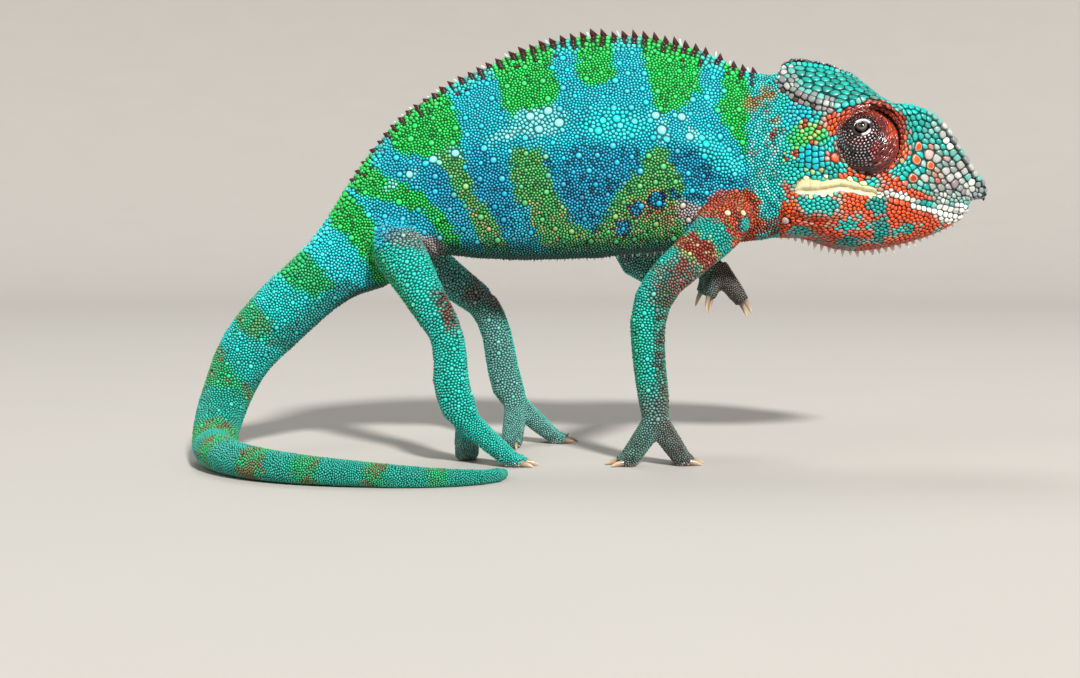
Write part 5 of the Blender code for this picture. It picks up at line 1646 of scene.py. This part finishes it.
def makeTurret(side):
    facts, look = turret[side], turretLook
    centre = facts["centre"]
    gaze, right, up = turretFrame(side)
    outward = facts["outward"][1]
    ring, circle = look["sides"], turretCircle(side)[1]
    first = math.asin(look["opening"] / look["ball"])
    tilts = np.concatenate([[first] * 2, np.linspace(first + 0.02, look["back"], 90)])
    sizes = look["ball"] + look["fold"] * np.cos(tilts * look["ball"] * 2 * math.pi / look["foldStep"])
    rows = []
    for k, (tilt, size) in enumerate(zip(tilts, sizes)):
        flat, high = size * math.sin(tilt), size * math.cos(tilt)
        if k == 0:
            high -= 1.4
        rows.append(centre + gaze * high + flat * circle)
    points = np.concatenate([[centre + gaze * (rows[0] - centre)[0].dot(gaze)], *rows])
    tints = turretMarks(points, side, hashed(np.round(points * 10).astype(int)[:, None, :].repeat(3, 1)
                                             + np.arange(3)[None, :, None], 4))
    # Painted shade: the rows sunk into the lid opening are near black, and the ball under the granules is
    # darkened to about a third, partly its own darker colour and partly shade in the gaps.
    tints[:1 + ring * 2] = linear(*paints["darkGrey"]) * 0.3
    ball = newObject(f"turret_{side}", points, domeFaces(len(rows), ring), tints * 0.35,
                     material=lidMaterial)
    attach(ball, "root")
    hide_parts(f"eye_turret_{side}")

    # fine scales ring after ring round the pupil, drawn out along the folds in front
    places, radii, stretches, axes = [], [], [], []
    tilt = first + 0.11
    while tilt < look["back"] - 0.15:
        size = look["ball"] + look["fold"] * math.cos(tilt * look["ball"] * 2 * math.pi / look["foldStep"])
        a = rng.random() * 0.3
        while a < 2 * math.pi:
            way = gaze * math.cos(tilt) + math.sin(tilt) * (right * math.cos(a) + up * math.sin(a))
            rel = way * size
            folded = rel[0] + 0.05 * rel[2] ** 2 > 2.2 or tilt > 1.30
            stretch = 3.2 + rng.random() if folded else 1.0
            radius = (look["fineScale"] if folded else look["scale"]) * (0.9 + 0.2 * rng.random())
            if outward * (centre + rel)[1] > 6.0:
                places.append(centre + rel)
                radii.append(radius)
                stretches.append(stretch)
                axes.append(-right * math.sin(a) + up * math.cos(a))
            a += 2 * radius * stretch * 1.04 / (size * math.sin(tilt))
        tilt += 2 * (look["scale"] + look["fineScale"]) * 0.46 / look["ball"]
    places, radii = np.array(places), np.array(radii)
    stretches, axes = np.array(stretches), np.array(axes)
    normals = unit(places - centre)
    axes = unit(alongSkin(axes, normals))
    reach, spoke = outlines(places, normals, axes, stretches, radii, 8, joint=0.03)
    tints = turretMarks(places, side, rng.random((len(places), 3)))
    # the granules' rims painted dark as shade, their tips 1.25 times brighter as a painted highlight
    made, tint, tris, local = scaleMesh(places, normals, reach, spoke, np.full(len(places), 0.22), tints,
                                        granuleProfile, top=1.25)
    # painted highlight: the granules behind and under the pupil get a near-white tip, a painted glint
    rel = places - centre
    paintedGlint = (stretches < 1.5) * ease(-rel[:, 0], -1.4, 0.4)
    paintedGlint = paintedGlint * ease(rel[:, 2], 4.0, 2.4) * ease(rel[:, 2], -6.4, -4.4)
    paintedGlint *= rng.random(len(places)) < 0.85
    each = len(tint) // len(places)
    tips = np.arange(len(places)) * each + each - 1
    tint[tips] += (linear(228, 224, 226) - tint[tips]) * np.clip(paintedGlint * 0.95, 0, 1)[:, None]
    polar = np.arccos(np.clip(normals @ gaze, -1, 1)) / math.pi
    angle = np.arctan2(normals @ up, normals @ right)
    maps = 0.5 + 0.48 * polar[:, None] * np.stack([np.cos(angle), np.sin(angle)], 1) * 1.4
    coat = newObject(f"coat_turret_{side}", made, [tris], tint, (maps[:, None] + local[None]).reshape(-1, 2),
                     material=lidMaterial)
    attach(coat, "root")


def makeEye(side):  # the lid's edge round the pupil, and the eye itself
    look, centre, middle = turretLook, turret[side]["centre"], turret[side]["middle"]
    gaze, circle = turretCircle(side)
    lidTilt = math.asin(look["opening"] * 1.04 / look["ball"])
    lidRing = centre + (look["ball"] + 0.10) * (gaze * math.cos(lidTilt) + math.sin(lidTilt) * circle)
    points, quads = ringMesh(lidRing, unit(lidRing - centre), look["lidTube"])
    # Painted highlights: two pale arcs on the lid's edge, one above the pupil and one below it, stand for its
    # wet gleam.
    ringAngle = np.repeat(np.degrees(turnsOf(look["sides"])), 12) % 360
    paintedGleam = ease(np.abs(ringAngle - 95), 62, 45) + ease(np.abs(ringAngle - 235), 38, 24)
    tints = linear(46, 32, 34)[None] + (linear(214, 208, 208) - linear(46, 32, 34)) * paintedGleam[:, None]
    lid = newObject(f"lidEdge_{side}", points, [quads], tints, material=lidMaterial)
    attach(lid, "root")
    tilts = np.linspace(*eyeLook["rings"])
    rows = [middle + gaze * eyeLook["depth"] * math.cos(t) + eyeLook["width"] * math.sin(t) * circle
            for t in tilts]
    points = np.concatenate([[middle + gaze * eyeLook["front"]], *rows])
    tilt = np.concatenate([[0], np.repeat(tilts, look["sides"])])
    tints = np.tile(linear(*eyeLook["pupil"]) * 0.5, (len(points), 1))
    tints += (linear(*eyeLook["iris"]) * 0.7 - tints) * ease(tilt, 0.62, 0.70)[:, None]
    tints += (linear(*eyeLook["rim"]) * 0.6 - tints) * ease(tilt, 0.98, 1.12)[:, None]
    eye = newObject(f"pupil_{side}", points, domeFaces(len(rows), look["sides"]), tints,
                    material=pupilMaterial)
    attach(eye, "root")
    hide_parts(f"eye_{side}")


def makeSocket(side):  # two folds of skin round the turret's foot, thick above as a brow
    facts, outward = turret[side], turret[side]["outward"][1]
    angle = turnsOf(120)
    thick = 0.42 + 0.58 * ease(np.sin(angle) - 0.15 * np.cos(angle), 0.1, 0.75)
    for name, (ringRadius, tube, probe, sink) in socketFolds.items():
        centre = facts["centre"] if name == "inner" else facts["socket"]
        depth = []
        for a in angle:
            place = fromSide(centre[0] + probe * math.cos(a), centre[2] + probe * math.sin(a), outward)
            depth.append(outward * place[1] if place is not None else np.nan)
        depth = np.array(depth)
        depth[np.isnan(depth)] = np.nanmean(depth)
        depth = np.clip(depth, 7.2, 11.2)
        for _ in range(60):
            depth = depth * 0.5 + (np.roll(depth, 1) + np.roll(depth, -1)) * 0.25
        line = np.stack([centre[0] + ringRadius * np.cos(angle), outward * (depth - sink),
                         centre[2] + ringRadius * np.sin(angle)], 1)
        radial = np.stack([np.cos(angle), np.zeros(120), np.sin(angle)], 1)
        lift = unit(radial * (-0.25 if name == "inner" else 0.25) + facts["outward"])
        tubes = tube * thick
        points, quads = ringMesh(line, lift, tubes)
        # The fold under its scales is darkened to about a third: partly its own darker colour, partly painted
        # shade in the gaps.
        marks = socketMarks(points - centre) * 0.3
        fold = newObject(f"socketFold_{name}_{side}", points, [quads], marks, material=lidMaterial)
        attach(fold, "root")
        step = unit(np.roll(line, -1, 0) - np.roll(line, 1, 0))
        across = np.cross(step, lift)
        places, normals, axes = [], [], []
        closed = np.concatenate([line, line[:1]])
        for swing in (-1.15, -0.42, 0.42, 1.15):
            out = lift * math.cos(swing) + across * math.sin(swing)
            edge = line + out * tubes[:, None] * 0.92
            spots = resampled(np.concatenate([edge, edge[:1]]), 1.25)[0][:-1]
            _, near, way = onLine(spots, closed)
            places.append(spots)
            normals.append(unit(near))
            axes.append(way)
        places, normals, axes = np.concatenate(places), np.concatenate(normals), np.concatenate(axes)
        axes = unit(alongSkin(axes, normals))
        count = len(places)
        stretches, radii = np.full(count, 1.7), np.full(count, 0.34)
        reach, spoke = outlines(places, normals, axes, stretches, radii, 8, joint=0.03)
        rel = places - centre
        tints = socketMarks(rel) * (0.75 + 0.4 * rng.random((count, 1)))
        made, tint, tris, local = scaleMesh(places, normals, reach, spoke, np.full(count, 0.18), tints,
                                            granuleProfile)
        polar = np.arctan2(rel[:, 2], rel[:, 0])
        beyond = np.linalg.norm(rel[:, (0, 2)], axis=1, keepdims=True) - ringRadius
        maps = 0.5 + np.stack([np.cos(polar), np.sin(polar)], 1) * (0.3 + 0.17 * beyond)
        coat = newObject(f"coat_socketFold_{name}_{side}", made, [tris], tint,
                         (maps[:, None] + local[None]).reshape(-1, 2), material=lidMaterial)
        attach(coat, "root")


def socketMarks(rel):
    colours = np.tile(linear(*paints["brick"]), (len(rel), 1))
    paint(colours, ease(rel[:, 0], 2, 5) * 0.6, "red")
    paint(colours, flecks(rel, 0.9, 31, 0.1, 0.4) * 0.45, "brown")
    paint(colours, flecks(rel, 0.9, 50, 0.35, 0.6) * ease(rel[:, 2], 4, 6) * 0.5, "ash")
    paint(colours, ease(-rel[:, 0], 3.5, 6.0) * ease(rel[:, 2], 5, 3) * 0.75, "darkGrey")
    paint(colours, ease(-rel[:, 2], 5, 7) * ease(rel[:, 0], -3, 0) * 0.5, "red")
    return colours


clawLook = {"sides": 12, "thickness": 0.74, "flatness": 0.78, "root": (96, 84, 74), "tip": (206, 176, 142)}


def makeClaws():
    sides, points, faces, tints = clawLook["sides"], [], [], []
    for name in clawNames:
        co = nodeMesh(name)[0]
        middle = co.mean(0)
        way = np.linalg.svd(co - middle, full_matrices=False)[2][0]
        t = (co - middle) @ way
        low, high = co[t < t.min() + 0.45], co[t > t.max() - 0.45]
        spread = [sizesOf(part - part.mean(0)).mean() for part in (low, high)]
        root, tip = (low, high) if spread[0] > spread[1] else (high, low)
        between = co[(np.abs(t) < 0.55 * np.ptp(t) / 2)]
        root, tip = root.mean(0), tip.mean(0)
        belly = between.mean(0) if len(between) else (root + tip) / 2
        back = root - unit(belly - root) * 1.1
        line, _ = resampled(np.array([back, root, belly, tip]), 0.22)
        for _ in range(3):
            line[1:-1] = line[1:-1] * 0.5 + (line[:-2] + line[2:]) * 0.25
        share = np.linspace(0, 1, len(line))
        radius = clawLook["thickness"] * np.sqrt(np.clip(1 - share ** 1.7, 0.0, 1))
        radius = radius * (1 - 0.25 * share) + 0.03
        step = unit(np.gradient(line, axis=0))
        side = unit(np.cross(step, (0, 0, 1.0)))
        up = np.cross(side, step)
        turn = turnsOf(sides)
        rings = line[:, None] + radius[:, None, None] * (
            side[:, None] * (clawLook["flatness"] * np.cos(turn))[None, :, None]
            + up[:, None] * np.sin(turn)[None, :, None])
        start = sum(len(p) for p in points)
        points.append(np.concatenate([rings.reshape(-1, 3), line[-1:] + step[-1:] * 0.04]))
        faces.append(start + pointedTris(len(line), sides))
        tone = np.append(np.repeat(share, sides), 1.0)[:, None]
        tints.append(linear(*clawLook["root"]) * (1 - tone) + linear(*clawLook["tip"]) * tone)
    claws = newObject("claws", np.concatenate(points), [np.concatenate(faces)], np.concatenate(tints),
                      material=clawMaterial)
    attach(claws, "root")
    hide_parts(*clawNames)
    print("claws made")


spineMaterial = markedMaterial("spineHorn", grain=2200, rough=(0.55, 0.7), shine=0.12)
lidMaterial = markedMaterial("lidSkin", grain=3000, vary=0.16, rough=(0.14, 0.26), shine=0.6)
pupilMaterial = markedMaterial("wetPupil", grain=1500, vary=0.1, bump=0.02, rough=(0.04, 0.08), coat=1.0)
clawMaterial = markedMaterial("clawHorn", grain=1400, vary=0.2, rough=(0.22, 0.35), coat=0.3)
stripeMaterial = markedMaterial("lipSkin", grain=1500, vary=0.10, bump=0.35, rough=(0.30, 0.42))
makeSpines()
for side in turret:
    makeTurret(side)
    makeEye(side)
    makeSocket(side)
    makeLipStripe(side)
print("turrets made")
makeClaws()
